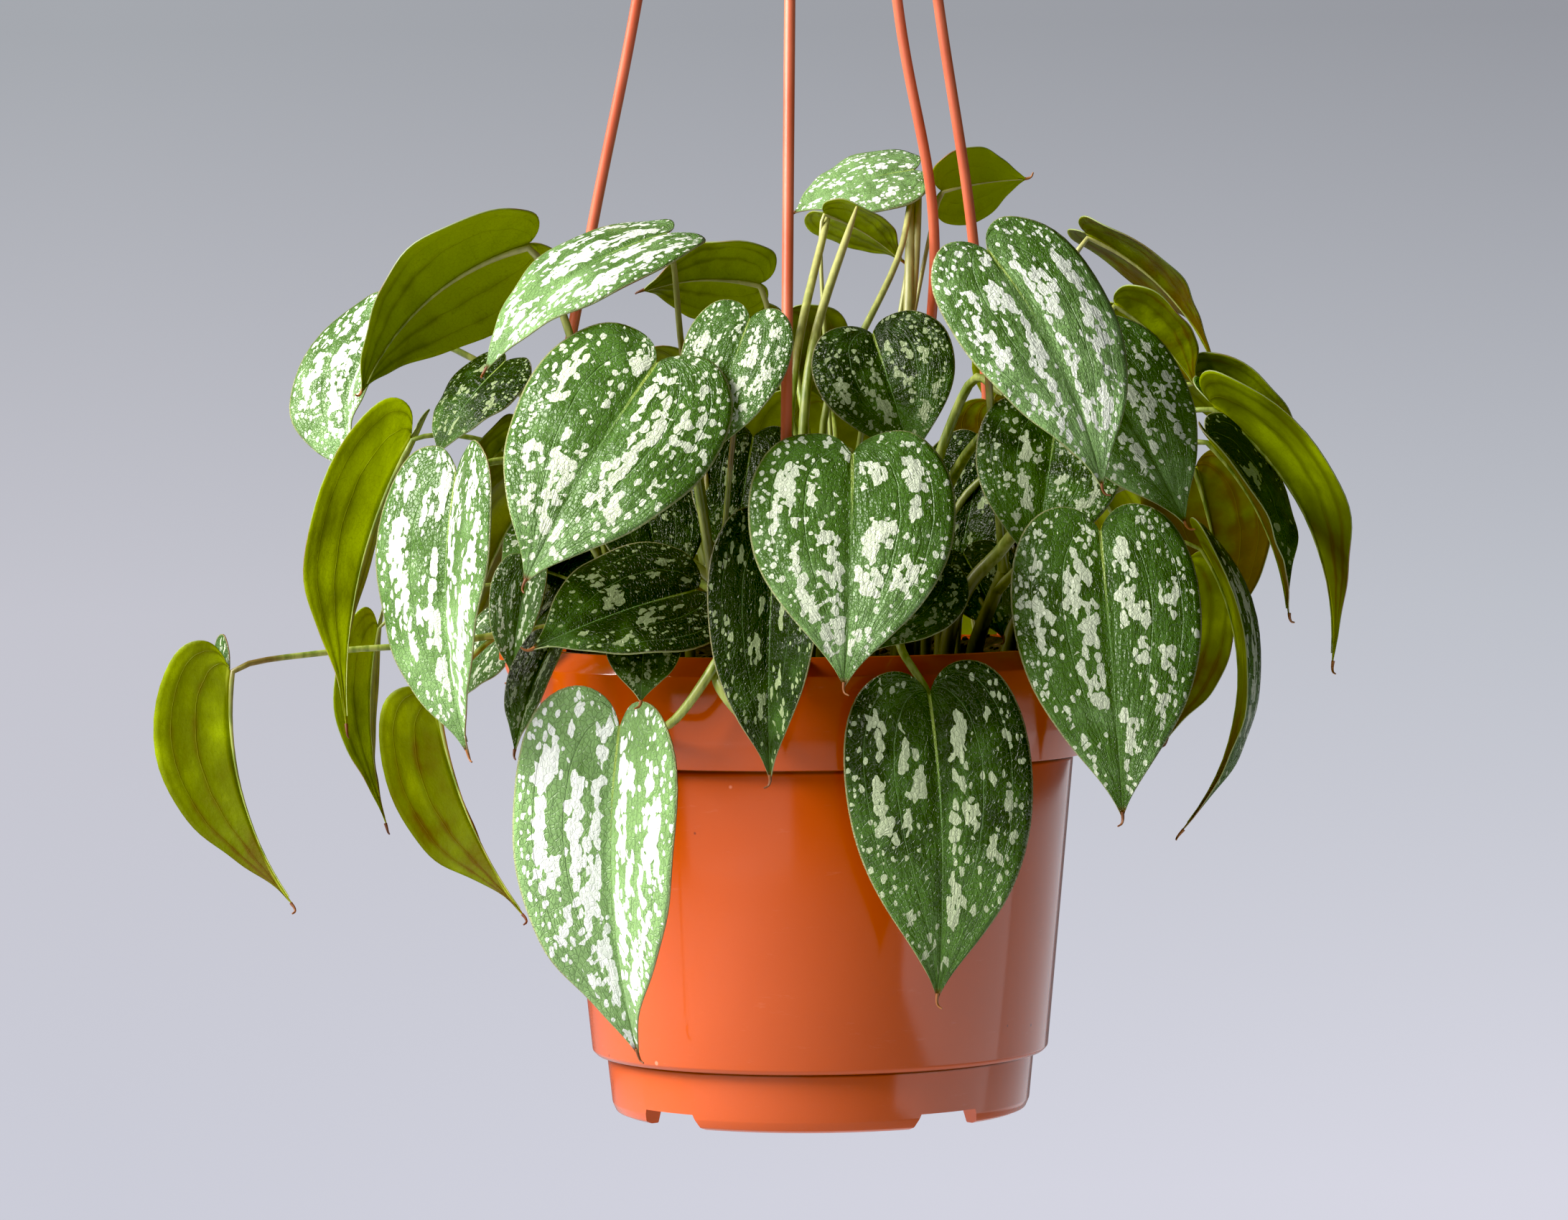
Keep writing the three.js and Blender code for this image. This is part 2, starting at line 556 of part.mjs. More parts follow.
// A leaf blade: a grid whose rows run from the midrib out, bent into the leaf and thickened
function blade(shape) {
  const strips = shape.width < SMALL_WIDTH ? 1 : STRIPS;
  const grid = new THREE.PlaneGeometry(2, 1, 2 * strips, LOBE_ROWS + FLANK_ROWS);
  grid.deleteAttribute("normal");
  grid.deleteAttribute("uv");
  const { position } = grid.attributes;
  for (let i = 0; i < position.count; i++) {
    const flat = flatBlade(shape.flank, 0.5 - position.getY(i), Math.abs(position.getX(i)));
    const at = onLeaf(shape, Math.sign(position.getX(i)) * flat.x, flat.y);
    position.setXYZ(i, at.x, at.y, at.z);
  }
  return thicken(grid, LEAF_THICK);
}

// A petiole from its stem to the blade's notch and a little way along under the midrib
function petiole(start, shape) {
  const notch = onLeaf(shape, 0, 0, RIB_SINK);
  const via = shape.via.map(v3);
  if (via.length === 0) {
    const middle = start.clone().lerp(notch, 0.5);
    via.push(middle.setZ(Math.max(middle.z, notch.z - 4)));
  }
  const end = onLeaf(shape, 0, RIB_REACH, LEAF_THICK / 2);
  return rod([start, ...via, notch, end], PETIOLE_RADIUS, 4, PETIOLE_STEPS);
}

// A leafy stem: it stands straight in its hole and then leans to the points given
function vine({ stem: [foot, ...rest], leaves }) {
  const points = [
    v3([...foot, STEM_FOOT_Z]),
    v3([...foot, SOIL_CROWN_Z - 4]),
    v3([...foot, SOIL_CROWN_Z + 2]),
    ...rest.map(v3),
  ];
  const line = new THREE.CatmullRomCurve3(points.slice(2));
  const solids = [rod(points, STEM_RADIUS, 6, 4 + 3 * rest.length)];
  for (const shape of leaves) {
    solids.push(blade(shape), petiole(line.getPointAt(shape.at), shape));
  }
  return join(solids);
}

const potPlastic = new THREE.MeshStandardMaterial({ color: 0xc8542c, roughness: 0.4, metalness: 0 });
const strandPlastic = new THREE.MeshStandardMaterial({ color: 0xd9664a, roughness: 0.38, metalness: 0 });
const darkSoil = new THREE.MeshStandardMaterial({ color: 0x2e2119, roughness: 0.95, metalness: 0 });
const satinLeaf = new THREE.MeshStandardMaterial({ color: 0x3f6b3c, roughness: 0.45, metalness: 0 });

const plant = new THREE.Group();
plant.add(piece("pot", pot(), potPlastic));
plant.add(piece("soil", soil(), darkSoil));
plant.add(piece("hanger_hook", hangerHook(), strandPlastic));
for (const one of STRANDS) {
  plant.add(piece(one.name, strand(one), strandPlastic));
}
for (const one of VINES) {
  plant.add(piece(one.name, vine(one), satinLeaf));
}
plant.position.z = -HANG_HEIGHT;

export default plant;
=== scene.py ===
# A satin pothos in a moulded hanging pot: blades with veins and silver blotches, stalks,
# compost, the pot, its strands and hook, and the light and camera they are seen with.
# Lengths in the tables are millimetres over the pot's foot.

import math
import random
from collections import namedtuple

import bmesh
import bpy
from mathutils import Matrix, Vector
from mathutils import noise as mnoise


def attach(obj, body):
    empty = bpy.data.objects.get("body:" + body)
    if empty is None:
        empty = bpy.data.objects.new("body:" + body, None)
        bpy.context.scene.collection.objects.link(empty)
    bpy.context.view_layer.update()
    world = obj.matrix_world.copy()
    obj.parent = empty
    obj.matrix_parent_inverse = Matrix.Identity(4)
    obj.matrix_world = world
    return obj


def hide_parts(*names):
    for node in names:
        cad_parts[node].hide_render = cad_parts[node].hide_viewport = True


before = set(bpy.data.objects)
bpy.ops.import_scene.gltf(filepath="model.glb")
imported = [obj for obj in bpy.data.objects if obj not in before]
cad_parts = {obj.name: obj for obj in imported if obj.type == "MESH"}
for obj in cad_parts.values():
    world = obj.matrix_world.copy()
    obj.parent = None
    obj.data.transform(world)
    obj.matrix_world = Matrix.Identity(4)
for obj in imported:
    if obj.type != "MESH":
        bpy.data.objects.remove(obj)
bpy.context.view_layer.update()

MM = 0.001
HANG_HEIGHT = 588

# Leaf outline and grid
LOBE = ((0, 0), (0.16, -0.16), (1, -0.15), (1, 0.25))
FLANK = ((1, 0.25), (1, 0.68), (0.2, 0.8), (0, 1))
TAILED = ((1, 0.25), (1, 0.68), (0.03, 0.68), (0, 1))
LOBE_SHARE = 3 / 7
VEIN_SPREAD = 1.6
BLADE_ROWS = 42
BLADE_STRIPS = 14
BLADE_THICK = 0.35
BLADE_RATIO = 2.6
USUAL_WIDTH = 50
STALK_WIDTH = 45
PLANT_SEED = 11
WELD = 1e-6

# Main side veins, as shares of the way from the midrib to the margin
INNER_VEIN = 0.46
OUTER_VEIN = 0.78

Leaf = namedtuple("Leaf", "at base tip width face bend fold roll silver tone via sway flank")


def heart(at, base, tip, width, face, bend, fold, roll, silver, tone, *via, sway=0, flank=FLANK):
    """A heart-shaped leaf as a row of the next table."""
    return Leaf(at, base, tip, width, face, bend, fold, roll, silver, tone, via, sway, flank)


# Leafy stems: name, the stem's points, then each leaf with the share of the stem where its
# petiole starts, petiole end, tip, width, the way its upper side looks, the midrib's bend, the
# halves' fold and roll, how silver it is, how light its green is (its own tone with painted
# light and shade for where it hangs), the petiole's points, the midrib's sideways bow, and the
# outline of its flank
VINES = (
    ("vine_front", ((2, -26), (4, -32, 138)), (
        heart(0.9, (10, -80, 178), (7, -101, 119), 54, (0, -1, 0.3), 0.5, 0.25, 0.6, 0.62, 0.58,
              (8, -56, 176), sway=0.01),
        heart(0.6, (-10, -81, 158), (-12, -90, 95), 33, (-0.3, -1, 0.2), 0.4, 0.6, 0.4, 0.34,
              -0.05, (-14, -55, 158)),
        heart(1, (16, -46, 209), (26, -58, 175), 38, (0, -1, 0.3), 0.7, 0.35, 0.6, 0.52, 0.18,
              (14, -38, 190)),
        heart(0.5, (30, -66, 149), (14, -80, 127), 28, (0.2, -1, 0.4), 0.4, 0.3, 0.4, 0.35, 0.1,
              (20, -50, 150)),
    )),
    ("vine_front_left", ((-20, -34), (-26, -44, 142)), (
        heart(1, (-40, -78, 202), (-74, -96, 146), 56, (-0.2, -1, 0.4), 0.5, 0.2, 0.6, 0.62, 0.55,
              (-34, -62, 190)),
        heart(0.4, (-31, -62, 143), (-73, -84, 129), 40, (-0.1, -0.75, 0.6), 0.4, 0.3, 0.5, 0.28,
              0.0),
        heart(1, (-38, -44, 236), (-85, -66, 200), 38, (-0.3, -0.5, 0.85), 0.9, 0.2, 0.5, 0.7, 0.8,
              (-34, -44, 205)),
        heart(0.9, (-16, -74, 213), (-28, -81, 176), 30, (-0.3, -0.9, 0.3), 0.4, 0.3, 0.6, 0.6,
              0.55, (-19, -62, 196)),
        heart(0.7, (-16, -24, 182), (-22, -34, 146), 30, (0, -0.9, 0.4), 0.5, 0.3, 0.5, 0.15, 0,
              (-20, -26, 164)),
    )),
    ("vine_over_rim", ((-12, -50), (-18, -64, 132), (-25, -79, 121), (-13, -82, 105)), (
        heart(0.5, (-51, -68, 108), (-47.5, -56, 21), 54, (-0.5, -0.85, 0.05), 0.35, 0.55, 0.45,
              0.78, 1.05, (-24, -80, 127), (-38, -79, 109), sway=-0.035),
        heart(0.4, (-44, -72, 134), (-45, -81, 115), 20, (0, -1, 0.3), 0.3, 0.3, 0.4, 0.4, 0.1),
    )),
    ("vine_front_right", ((24, -46), (24, -62, 134)), (
        heart(0.9, (29, -84, 116), (30, -88, 38), 49, (0, -1, 0.1), 0.3, 0.25, 0.6, 0.37, 0.25,
              (22, -78, 128), sway=0.03),
    )),
    ("vine_right", ((42, -24), (50, -34, 146)), (
        heart(1, (46, -62, 230), (74, -84, 168), 44, (0.2, -0.9, 0.4), 0.5, 0.2, 0.6, 0.62, 0.78,
              (46, -50, 200), sway=0.04),
        heart(0.8, (74, -66, 157), (78, -88, 84), 50, (0.05, -0.95, 0.28), 0.4, 0.2, 0.6, 0.5,
              0.42, (64, -52, 156)),
        heart(0.9, (64, -46, 187), (57, -60, 146), 40, (0, -0.9, 0.3), 0.5, 0.3, 0.5, 0.5, 0.3),
        heart(0.5, (40, -14, 150), (50, -24, 128), 26, (0.2, -0.8, 0.6), 0.5, 0.3, 0.5, 0.1, 0,
              (42, -16, 142)),
    )),
    ("vine_right_side", ((52, -2), (60, -6, 148)), (
        heart(1, (70, -40, 206), (97, -56, 158), 42, (0.2, -0.9, 0.35), 0.6, 0.2, 0.6, 0.5, 0.5,
              (66, -24, 190)),
        heart(0.7, (104, -20, 151), (96, -26, 75), 27, (0.95, -0.2, 0.2), 1.3, 0.5, 0.4, 0.4, 0.35,
              (82, -14, 155), flank=TAILED),
        heart(0.5, (100, -4, 146), (94, -8, 99), 36, (0.6, 0.7, 0.1), 0.5, 0.2, 0.5, 0.4, 0.4,
              (82, -4, 146)),
        heart(0.9, (82, 0, 217), (104, 4, 194), 34, (0.3, 0.5, 0.8), 0.6, 0.2, 0.6, 0.4, 0.4,
              (70, -2, 190)),
        heart(0.6, (47, 8, 178), (38, 2, 138), 34, (-0.3, -0.8, 0.5), 0.5, 0.3, 0.5, 0.1, 0,
              (50, 4, 160)),
        heart(0.8, (49, 14, 190), (60, 8, 158), 30, (0.1, 0.9, 0.3), 0.5, 0.3, 0.5, 0.2, 0.1,
              (48, 14, 172)),
    )),
    ("vine_right_outer", ((44, 20), (56, 18, 152)), (
        heart(1, (104, 8, 196), (134, 2, 167), 32, (0.5, 0.5, 0.7), 0.8, 0.4, 0.6, 0.4, 0.4,
              (82, 14, 184), flank=TAILED),
        heart(0.9, (108, -6, 189), (139, -6, 118), 38, (0.85, 0.1, 0.4), 1.1, 0.7, 0.4, 0.4, 0.5,
              (84, 6, 180), flank=TAILED),
        heart(0.8, (106, -16, 180), (127, -14, 132), 36, (0.8, -0.3, 0.4), 0.7, 0.5, 0.4, 0.05,
              0.1, (84, -2, 172), flank=TAILED),
        heart(0.7, (104, 12, 172), (112, 14, 126), 38, (0.4, 0.8, 0.3), 0.6, 0.2, 0.6, 0.05, 0.1,
              (82, 14, 166)),
        heart(0.9, (76, 20, 236), (110, 20, 200), 34, (0.5, 0.25, 0.83), 0.8, 0.3, 0.6, 0.4, 0.2,
              (64, 18, 205), flank=TAILED),
    )),
    ("vine_left", ((-44, -16), (-54, -24, 146)), (
        heart(0.9, (-93, -58, 174), (-90, -70, 101), 46, (-0.72, -0.68, 0.15), 0.5, 0.5, 0.6, 0.72,
              0.68, (-74, -44, 176), sway=-0.02),
        heart(1, (-82, -20, 203), (-100, -28, 178), 30, (-0.6, -0.6, 0.6), 0.6, 0.2, 0.6, 0.3, 0.1,
              (-66, -22, 186)),
        heart(0.3, (-69, -51, 129), (-79, -54, 101), 15, (-0.5, -0.8, 0.3), 0.5, 0.6, 0.3, 0.5,
              0.2),
        heart(0.6, (-76, -20, 148), (-81, -24, 119), 18, (-0.3, -0.9, 0.2), 0.5, 0.7, 0.3, 0.4,
              0.4),
        heart(0.6, (-46, -22, 170), (-40, -30, 138), 30, (0.2, -0.8, 0.5), 0.5, 0.3, 0.5, 0.15,
              0.05, (-50, -18, 158)),
        heart(0.5, (-52, -14, 153), (-76, -20, 132), 28, (0.2, -0.8, 0.6), 0.5, 0.3, 0.5, 0.15, 0,
              (-44, -12, 150)),
    )),
    ("vine_left_side", ((-48, 4), (-60, 2, 150)), (
        heart(1, (-76, -4, 235), (-121, -12, 195), 50, (-0.35, 0.6, 0.7), 1.2, 0.2, 0.7, 0.4, 0.95,
              (-62, -2, 198)),
        heart(0.9, (-108, -12, 183), (-125.4, -20, 105), 34, (-0.8, 0.7, 0.3), 0.8, 0.8, 0.4, 0.4,
              0.7, (-84, -4, 180), flank=TAILED),
        heart(0.7, (-80, -6, 184), (-98, -12, 160), 28, (-0.5, 0.4, 0.7), 0.5, 0.2, 0.5, 0.4, 0.4),
        heart(0.5, (-64, -6, 160), (-84, -14, 142), 26, (-0.3, -0.6, 0.8), 0.6, 0.4, 0.5, 0.4,
              0.4),
        heart(0.9, (-115, 20, 213), (-122.4, 4, 173), 43, (-0.75, -0.6, 0.3), 0.8, 0.6, 0.6, 0.75,
              0.72, (-66, 14, 176), (-86, 19, 200), sway=-0.16),
    )),
    ("vine_left_outer", ((-38, 28), (-56, 24, 142)), (
        heart(0.6, (-158, -6, 121), (-141, -10, 57), 40, (-0.8, 0.6, 0.1), 1, 1.1, 0.3, 0.4, 0.42,
              (-100, 14, 127), (-132, 8, 125), flank=TAILED),
        heart(0.7, (-120, 20, 131), (-118, 20, 76), 22, (-0.8, 0.5, 0), 0.6, 0.6, 0.3, 0.4, 0.75,
              (-92, 24, 142), flank=TAILED),
        heart(0.5, (-103, 2, 110), (-79, -6, 53), 36, (-0.7, 0.7, 0.1), 0.8, 1, 0.3, 0.4, 0.35,
              (-84, 20, 130), flank=TAILED),
        heart(0.5, (-84, 30, 132), (-98, 32, 110), 24, (-0.5, -0.6, 0.6), 0.5, 0.3, 0.5, 0.4, 0.4),
    )),
    ("vine_back", ((2, 26), (8, 36, 150)), (
        heart(1, (29, 70, 256), (-5, 68, 244), 35, (-0.1, -0.5, 0.85), 0.6, 0.2, 0.6, 0.5, 0.95,
              (23, 60, 205)),
        heart(0.9, (37, 66, 250), (61, 68, 253), 28, (-0.1, 0.7, 0.6), 0.4, 0.2, 0.5, 0.4, 1.4,
              (26, 58, 205)),
        heart(0.9, (4, 56, 244), (26, 64, 230), 26, (0.2, 0.4, 0.8), 0.5, 0.2, 0.5, 0.4, 0.7,
              (4, 48, 200)),
        heart(0.8, (-14, 20, 224), (-46, 12, 222), 38, (0.1, 0.6, 0.8), 0.7, 0.2, 0.5, 0.4, 0.8,
              (-8, 26, 195)),
    )),
    ("vine_back_left", ((-20, 46), (-30, 56, 146)), (
        heart(1, (-52, 76, 204), (-74, 104, 152), 52, (-0.4, 0.7, 0.4), 0.7, 0.2, 0.6, 0.45, 0.4,
              (-44, 64, 190)),
        heart(0.8, (-76, 62, 172), (-100, 82, 118), 46, (-0.7, 0.6, 0.3), 0.7, 0.2, 0.6, 0.45, 0.4,
              (-60, 58, 168)),
        heart(0.6, (-40, 88, 142), (-44, 100, 72), 46, (-0.3, 0.9, 0.1), 0.5, 0.2, 0.6, 0.45, 0.4,
              (-36, 78, 142)),
    )),
    ("vine_back_right", ((30, 42), (42, 50, 148)), (
        heart(1, (62, 74, 206), (84, 94, 152), 48, (0.5, 0.8, 0.4), 0.7, 0.2, 0.6, 0.45, 0.4,
              (42, 65, 180)),
        heart(0.8, (78, 48, 170), (94, 66, 114), 42, (0.7, 0.6, 0.3), 0.7, 0.2, 0.6, 0.45, 0.4,
              (64, 46, 166)),
        heart(0.6, (44, 86, 140), (48, 98, 70), 46, (0.3, 0.9, 0.1), 0.5, 0.2, 0.6, 0.45, 0.4,
              (44, 76, 142)),
    )),
    ("vine_back_middle", ((4, 54), (6, 64, 144)), (
        heart(1, (4, 92, 190), (6, 116, 128), 54, (0, 0.9, 0.4), 0.7, 0.2, 0.6, 0.45, 0.4,
              (6, 78, 184)),
        heart(0.7, (-8, 86, 216), (-18, 114, 172), 44, (-0.2, 0.8, 0.5), 0.7, 0.2, 0.6, 0.45, 0.4,
              (-2, 74, 185)),
    )),
)

# More stalks in the crown, by stem: radius, then points from the compost up
CROWN_STALKS = {
    "vine_right": (
        (1.5, ((26, -20, 112), (27, -20, 137), (30, -20, 164), (36, -20, 183), (43, -27, 197),
               (50, -44.5, 192.5))),
        (1.7, ((29, -4, 112), (30, -4, 135), (33, -7, 160), (39, -20, 174), (48, -48.5, 186.5))),
        (2.0, ((33, -34, 112), (36, -36, 132), (41, -38, 143), (49, -43, 152),
               (57.7, -56.8, 164.3))),
    ),
    "vine_right_side": (
        (1.3, ((33, 8, 112), (34, 8, 132), (35, 6, 150), (40, 4, 164), (50.2, 2.8, 174.2))),
        (1.1, ((38, 20, 112), (39, 20, 130), (42, 20, 150), (47, 17, 172), (49, 14, 186))),
    ),
    "vine_back": (
        (1.5, ((0, 12, 112), (-1, 10, 133), (-3, 12, 172), (0, 20, 205), (12.9, 46.5, 245))),
        (1.4, ((-4, 18, 112), (-5, 16, 133), (-7, 16, 176), (-4, 24, 205), (6, 62, 247))),
        (1.7, ((22, 30, 112), (23, 30, 134), (25, 36, 183), (27, 52, 216), (28.5, 69, 254.8))),
        (1.4, ((15, 30, 112), (17, 30, 134), (22, 38, 191), (28, 54, 219), (31, 68, 254.6))),
        (1.1, ((3, 26, 112), (3, 26, 134), (4, 28, 191), (15, 32, 212), (25, 48, 233),
               (29, 67.5, 254.5))),
    ),
    "vine_left": (
        (1.4, ((-33, -18, 112), (-34, -20, 134), (-37, -23, 150), (-43, -25, 162),
               (-52, -24.2, 172.6))),
    ),
    "vine_front_left": (
        (1.3, ((-23, -28, 112), (-24, -30, 131), (-26, -31, 146), (-28, -31, 160),
               (-28.4, -29.8, 174))),
    ),
}

# Hanger: name, eye and socket azimuths from the front towards +X, and points passed
STRANDS = (
    ("strand_front", 354.5, 354.5, ((-4, -46, 331),)),
    ("strand_left", 264.5, 264.5, ((-59, 5, 239), (-46, 3, 300))),
    ("strand_right", 140, 84.5, ((45, 46, 236), (36, 36, 300))),
    ("strand_back", 165, 174.5, ((34.5, 54, 234), (25, 45, 300))),
)
STRAND_RADIUS = 1.5
EYE_CIRCLE = 81.5
EYE_Z = 122.4
EYE_THICK = 2.8
EYE_RADIUS = 4.8
EYE_HOLE = 2.8
EYE_ROOT = 72
KNOB_RADIUS = 3.2
KNOB_LENGTH = 4.8

# Hub and hook
HUB_Z = 540
SOCKET_CIRCLE = 5.2
SOCKET_RADIUS = 2.3
HOOK_ROD = 2.6
HOOK_INNER = 10
HOOK_CENTRE_Z = 578

# Stems and compost
STEM_RADIUS = 2.3
STEM_FOOT_Z = 98
SOIL_CROWN_Z = 122
SOIL_EDGE_Z = 116
SOIL_RADIUS = 71.6
SOIL_BANK = 7.6
REAR_BANK = 3.4
SOIL_RINGS = 30
CRUMBS = 700
CRUMB_SEED = 5

# Pot: heights of its creases, which are painted dark as shade, its notches' azimuths, and its drain
# holes
SHADED_CREASES = (15.7, 95.7)
SOFT_EDGE = 0.3
NOTCHES = (-46, 37, 134, 217)
NOTCH_SIZE = (23, 15, 6)
NOTCH_TAPER = 9 / 11.5
DRAINS = 8
DRAIN_CIRCLE = 33
DRAIN_RADIUS = 4

# The pot's section from the middle of its underside, up the outside and down the inside
WALL_PROFILE = (
    (0, 5), (51, 5), (51, 0), (53.4, 0), (55.4, 0.75), (56.4, 3), (57.7, 15.4), (57.5, 16),
    (60.4, 16), (61.6, 17.2), (65.5, 56.8), (69.2, 94.6), (69.1, 95.4), (68.9, 96.4),
    (73.6, 96.4), (74.1, 104.5), (74.6, 112.7), (75, 120.8), (71.2, 125.6), (69.7, 125.6),
    (72.75, 120), (72.1, 97.9), (67.9, 97.9), (60.1, 18.7), (56.3, 17.5), (54.9, 8),
    (53.4, 6.5), (0, 6.5),
)
# The compost's section below its surface, and the hub's section
SOIL_PROFILE = ((0, 7), (53, 7), (56, 18.5), (59.6, 19.5), (67.4, 98.4), (71.6, 98.4))
HUB_PROFILE = (
    (0, 540), (8, 540), (8.7, 540.3), (9, 541), (9, 545.6), (8.6, 546.4), (6, 548.6),
    (3.9, 550.4), (3.2, 551.8), (0, 551.8),
)

# Silver marks: cells to a half width, and how much each kind is drawn out
MARK_CELLS = 15.5
BLOTCH_STRETCH = 0.66
DOT_STRETCH = 0.78

# Stage and camera, in metres and degrees
FLOOR_RADIUS = 2.6
FLOOR_Z = -0.99
CAMERA_PLACE = (0, -1.6, -0.392)
CAMERA_TURNS = (0.30, 2.175, 0.7)
LENS = 136.1
FILM_WIDTH = 36
BLACK_LEVEL = (0.004, 0.003, 0.011)
# Surround colours at the bottom, middle and top, on the left and on the right
SURROUND = (
    ((204, 205, 217), (197, 197, 207), (166, 169, 176)),
    ((216, 216, 228), (190, 193, 202), (151, 153, 161)),
)
# Lights: name, power, colour, width and height, place and aim
LIGHTS = (
    ("window_left", 150, (1.0, 0.97, 0.92), (2.3, 1.0), (-1.8, -0.52, 0.8), (0, 0, -0.45)),
    ("table_sheen", 0.75, (0.95, 0.95, 1.0), (1.1, 0.2), (-0.7, -0.98, -0.66), (0, 0, -0.49)),
    ("wall_right", 1.75, (0.9, 0.93, 1.0), (0.93, 0.38), (0.665, -0.35, -0.75), (0, -0.38, -0.75)),
    ("wall_behind", 1.15, (0.9, 0.93, 1.0), (1.15, 0.38), (0.57, 0.69, -0.75), (0, 0.63, -0.75)),
    ("front_fill", 4.5, (0.97, 0.98, 1.0), (3.2, 2.6), (-0.3, -2.9, 0.6), (0, 0, -0.4)),
)


def place(x, y, z):
    """A point over the pot's foot, in the part's frame and in metres."""
    return Vector((x, y, z - HANG_HEIGHT)) * MM


def around(radius, azimuth, z):
    """A point on a circle, by azimuth in degrees from the front towards +X."""
    a = math.radians(azimuth)
    return (radius * math.sin(a), -radius * math.cos(a), z)


def finished(name, bm, materials, node=None):
    """The bmesh as a smooth piece that rides on the part's one body."""
    mesh = bpy.data.meshes.new(name)
    bm.to_mesh(mesh)
    bm.free()
    for material in materials:
        mesh.materials.append(material)
    piece = bpy.data.objects.new(name, mesh)
    bpy.context.scene.collection.objects.link(piece)
    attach(piece, "root")
    if node:
        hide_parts(node)
    return piece


def smooth(bm, sharp_angle=None):
    """Smooth faces, with the edges over the given angle left sharp."""
    for face in bm.faces:
        face.smooth = True
    if sharp_angle is None:
        return
    for edge in bm.edges:
        if edge.is_manifold and edge.calc_face_angle() > math.radians(sharp_angle):
            edge.smooth = False


def bezier(points, t):
    """A point of a cubic curve in the blade's own plane."""
    a, b, c, d = (Vector(p) for p in points)
    u = 1 - t
    return a * u ** 3 + b * 3 * u * u * t + c * 3 * u * t * t + d * t ** 3


def flat_blade(flank, t, s):
    """The flat blade's point at a share of the outline and of the way out from the midrib."""
    if t < LOBE_SHARE:
        edge = bezier(LOBE, t / LOBE_SHARE)
    else:
        edge = bezier(flank, (t - LOBE_SHARE) / (1 - LOBE_SHARE))
    rib = t ** VEIN_SPREAD
    return edge.x * s, rib + (edge.y - rib) * s


def on_leaf(leaf, across, down, lift=0.0):
    """Where a point of the flat blade lies on the leaf, lifted off its upper side."""
    base = Vector(leaf.base)
    along = Vector(leaf.tip) - base
    chord = along.length
    along.normalize()
    up = Vector(leaf.face)
    up = (up - along * up.dot(along)).normalized()
    side = up.cross(along)
    arc = chord / (2 * math.sin(leaf.bend / 2))
    turn = leaf.bend * (down - 0.5)
    out = along * math.sin(turn) + up * math.cos(turn)
    ahead = along * math.cos(turn) - up * math.sin(turn)
    slew = math.atan(4 * leaf.sway * (1 - 2 * down))
    span = side * math.cos(slew) - ahead * math.sin(slew)
    reach = leaf.width / (2 * leaf.roll)
    tilt = leaf.fold - leaf.roll * abs(across)
    half = math.copysign(reach * (math.sin(leaf.fold) - math.sin(tilt)), across)
    return (base + along * (chord / 2 + arc * math.sin(turn))
            + up * (arc * (math.cos(turn) - math.cos(leaf.bend / 2)))
            + side * (4 * leaf.sway * chord * down * (1 - down))
            + span * half
            + out * (reach * (math.cos(tilt) - math.cos(leaf.fold)) + lift))


def bump_at(value, centre, width):
    """A rounded bump of height 1 about a centre."""
    return math.exp(-((value - centre) / width) ** 2)


def relief(leaf, t, s, phase):
    """The blade's height over its plain form: sunken veins, quilting and a waved margin."""
    share = abs(s)
    size = leaf.width / USUAL_WIDTH * min(t / 0.08, 1) * min((1 - t) / 0.06, 1)
    body = math.sin(math.pi * min(t, 1)) ** 0.5 if 0 < t < 1 else 0
    veins = -0.68 * bump_at(share, 0, 0.055) * (1 - 0.6 * t)
    veins -= 0.4 * body * bump_at(share, INNER_VEIN, 0.05)
    veins -= 0.27 * body * bump_at(share, OUTER_VEIN, 0.045)
    quilt = 0.2 * body * math.sin(2 * math.pi * (8.5 * t + 1.1 * share) + phase)
    quilt *= math.sin(math.pi * min(share * 1.05, 1))
    wave = math.sin(2 * math.pi * (2.6 * t + 0.21 * math.copysign(1, s)) + phase)
    wave += 0.5 * math.sin(2 * math.pi * 5.3 * t + 2 * phase + (1.3 if s > 0 else 0))
    return size * (veins + quilt + 0.75 * body * wave * share ** 3)


def add_blade(bm, layers, leaf, seed):
    """One blade as an open sheet, with its outline shares as a UV map and its looks."""
    uv_layer, flat_layer, look_layer = layers
    made = bmesh.ops.create_grid(bm, x_segments=2 * BLADE_STRIPS, y_segments=BLADE_ROWS, size=1)
    phase = seed * 2 * math.pi
    for vert in made["verts"]:
        s, y, _ = vert.co
        t = (1 - y) / 2
        x, down = flat_blade(leaf.flank, t, abs(s))
        across = math.copysign(x, s)
        for loop in vert.link_loops:
            loop[uv_layer].uv = (s, t)
            loop[flat_layer].uv = (across, down)
        vert[look_layer] = (seed, leaf.silver, leaf.tone, 1)
        vert.co = place(*on_leaf(leaf, across, down, relief(leaf, t, s, phase)))


def blades(name, node, leaves, seeds, materials):
    """All the blades of one leafy stem, given their thickness downwards."""
    bm = bmesh.new()
    layers = (bm.loops.layers.uv.new("blade"), bm.loops.layers.uv.new("flat"),
              bm.verts.layers.float_color.new("look"))
    for leaf, seed in zip(leaves, seeds):
        add_blade(bm, layers, leaf, seed)
    bmesh.ops.remove_doubles(bm, verts=bm.verts, dist=WELD)
    bmesh.ops.dissolve_degenerate(bm, edges=bm.edges, dist=WELD / 10)
    smooth(bm)
    piece = finished(name, bm, materials, node)
    skin = piece.modifiers.new("thickness", "SOLIDIFY")
    skin.thickness = BLADE_THICK * MM
    skin.offset = -1
    skin.material_offset = 1
    skin.material_offset_rim = 2
    return piece


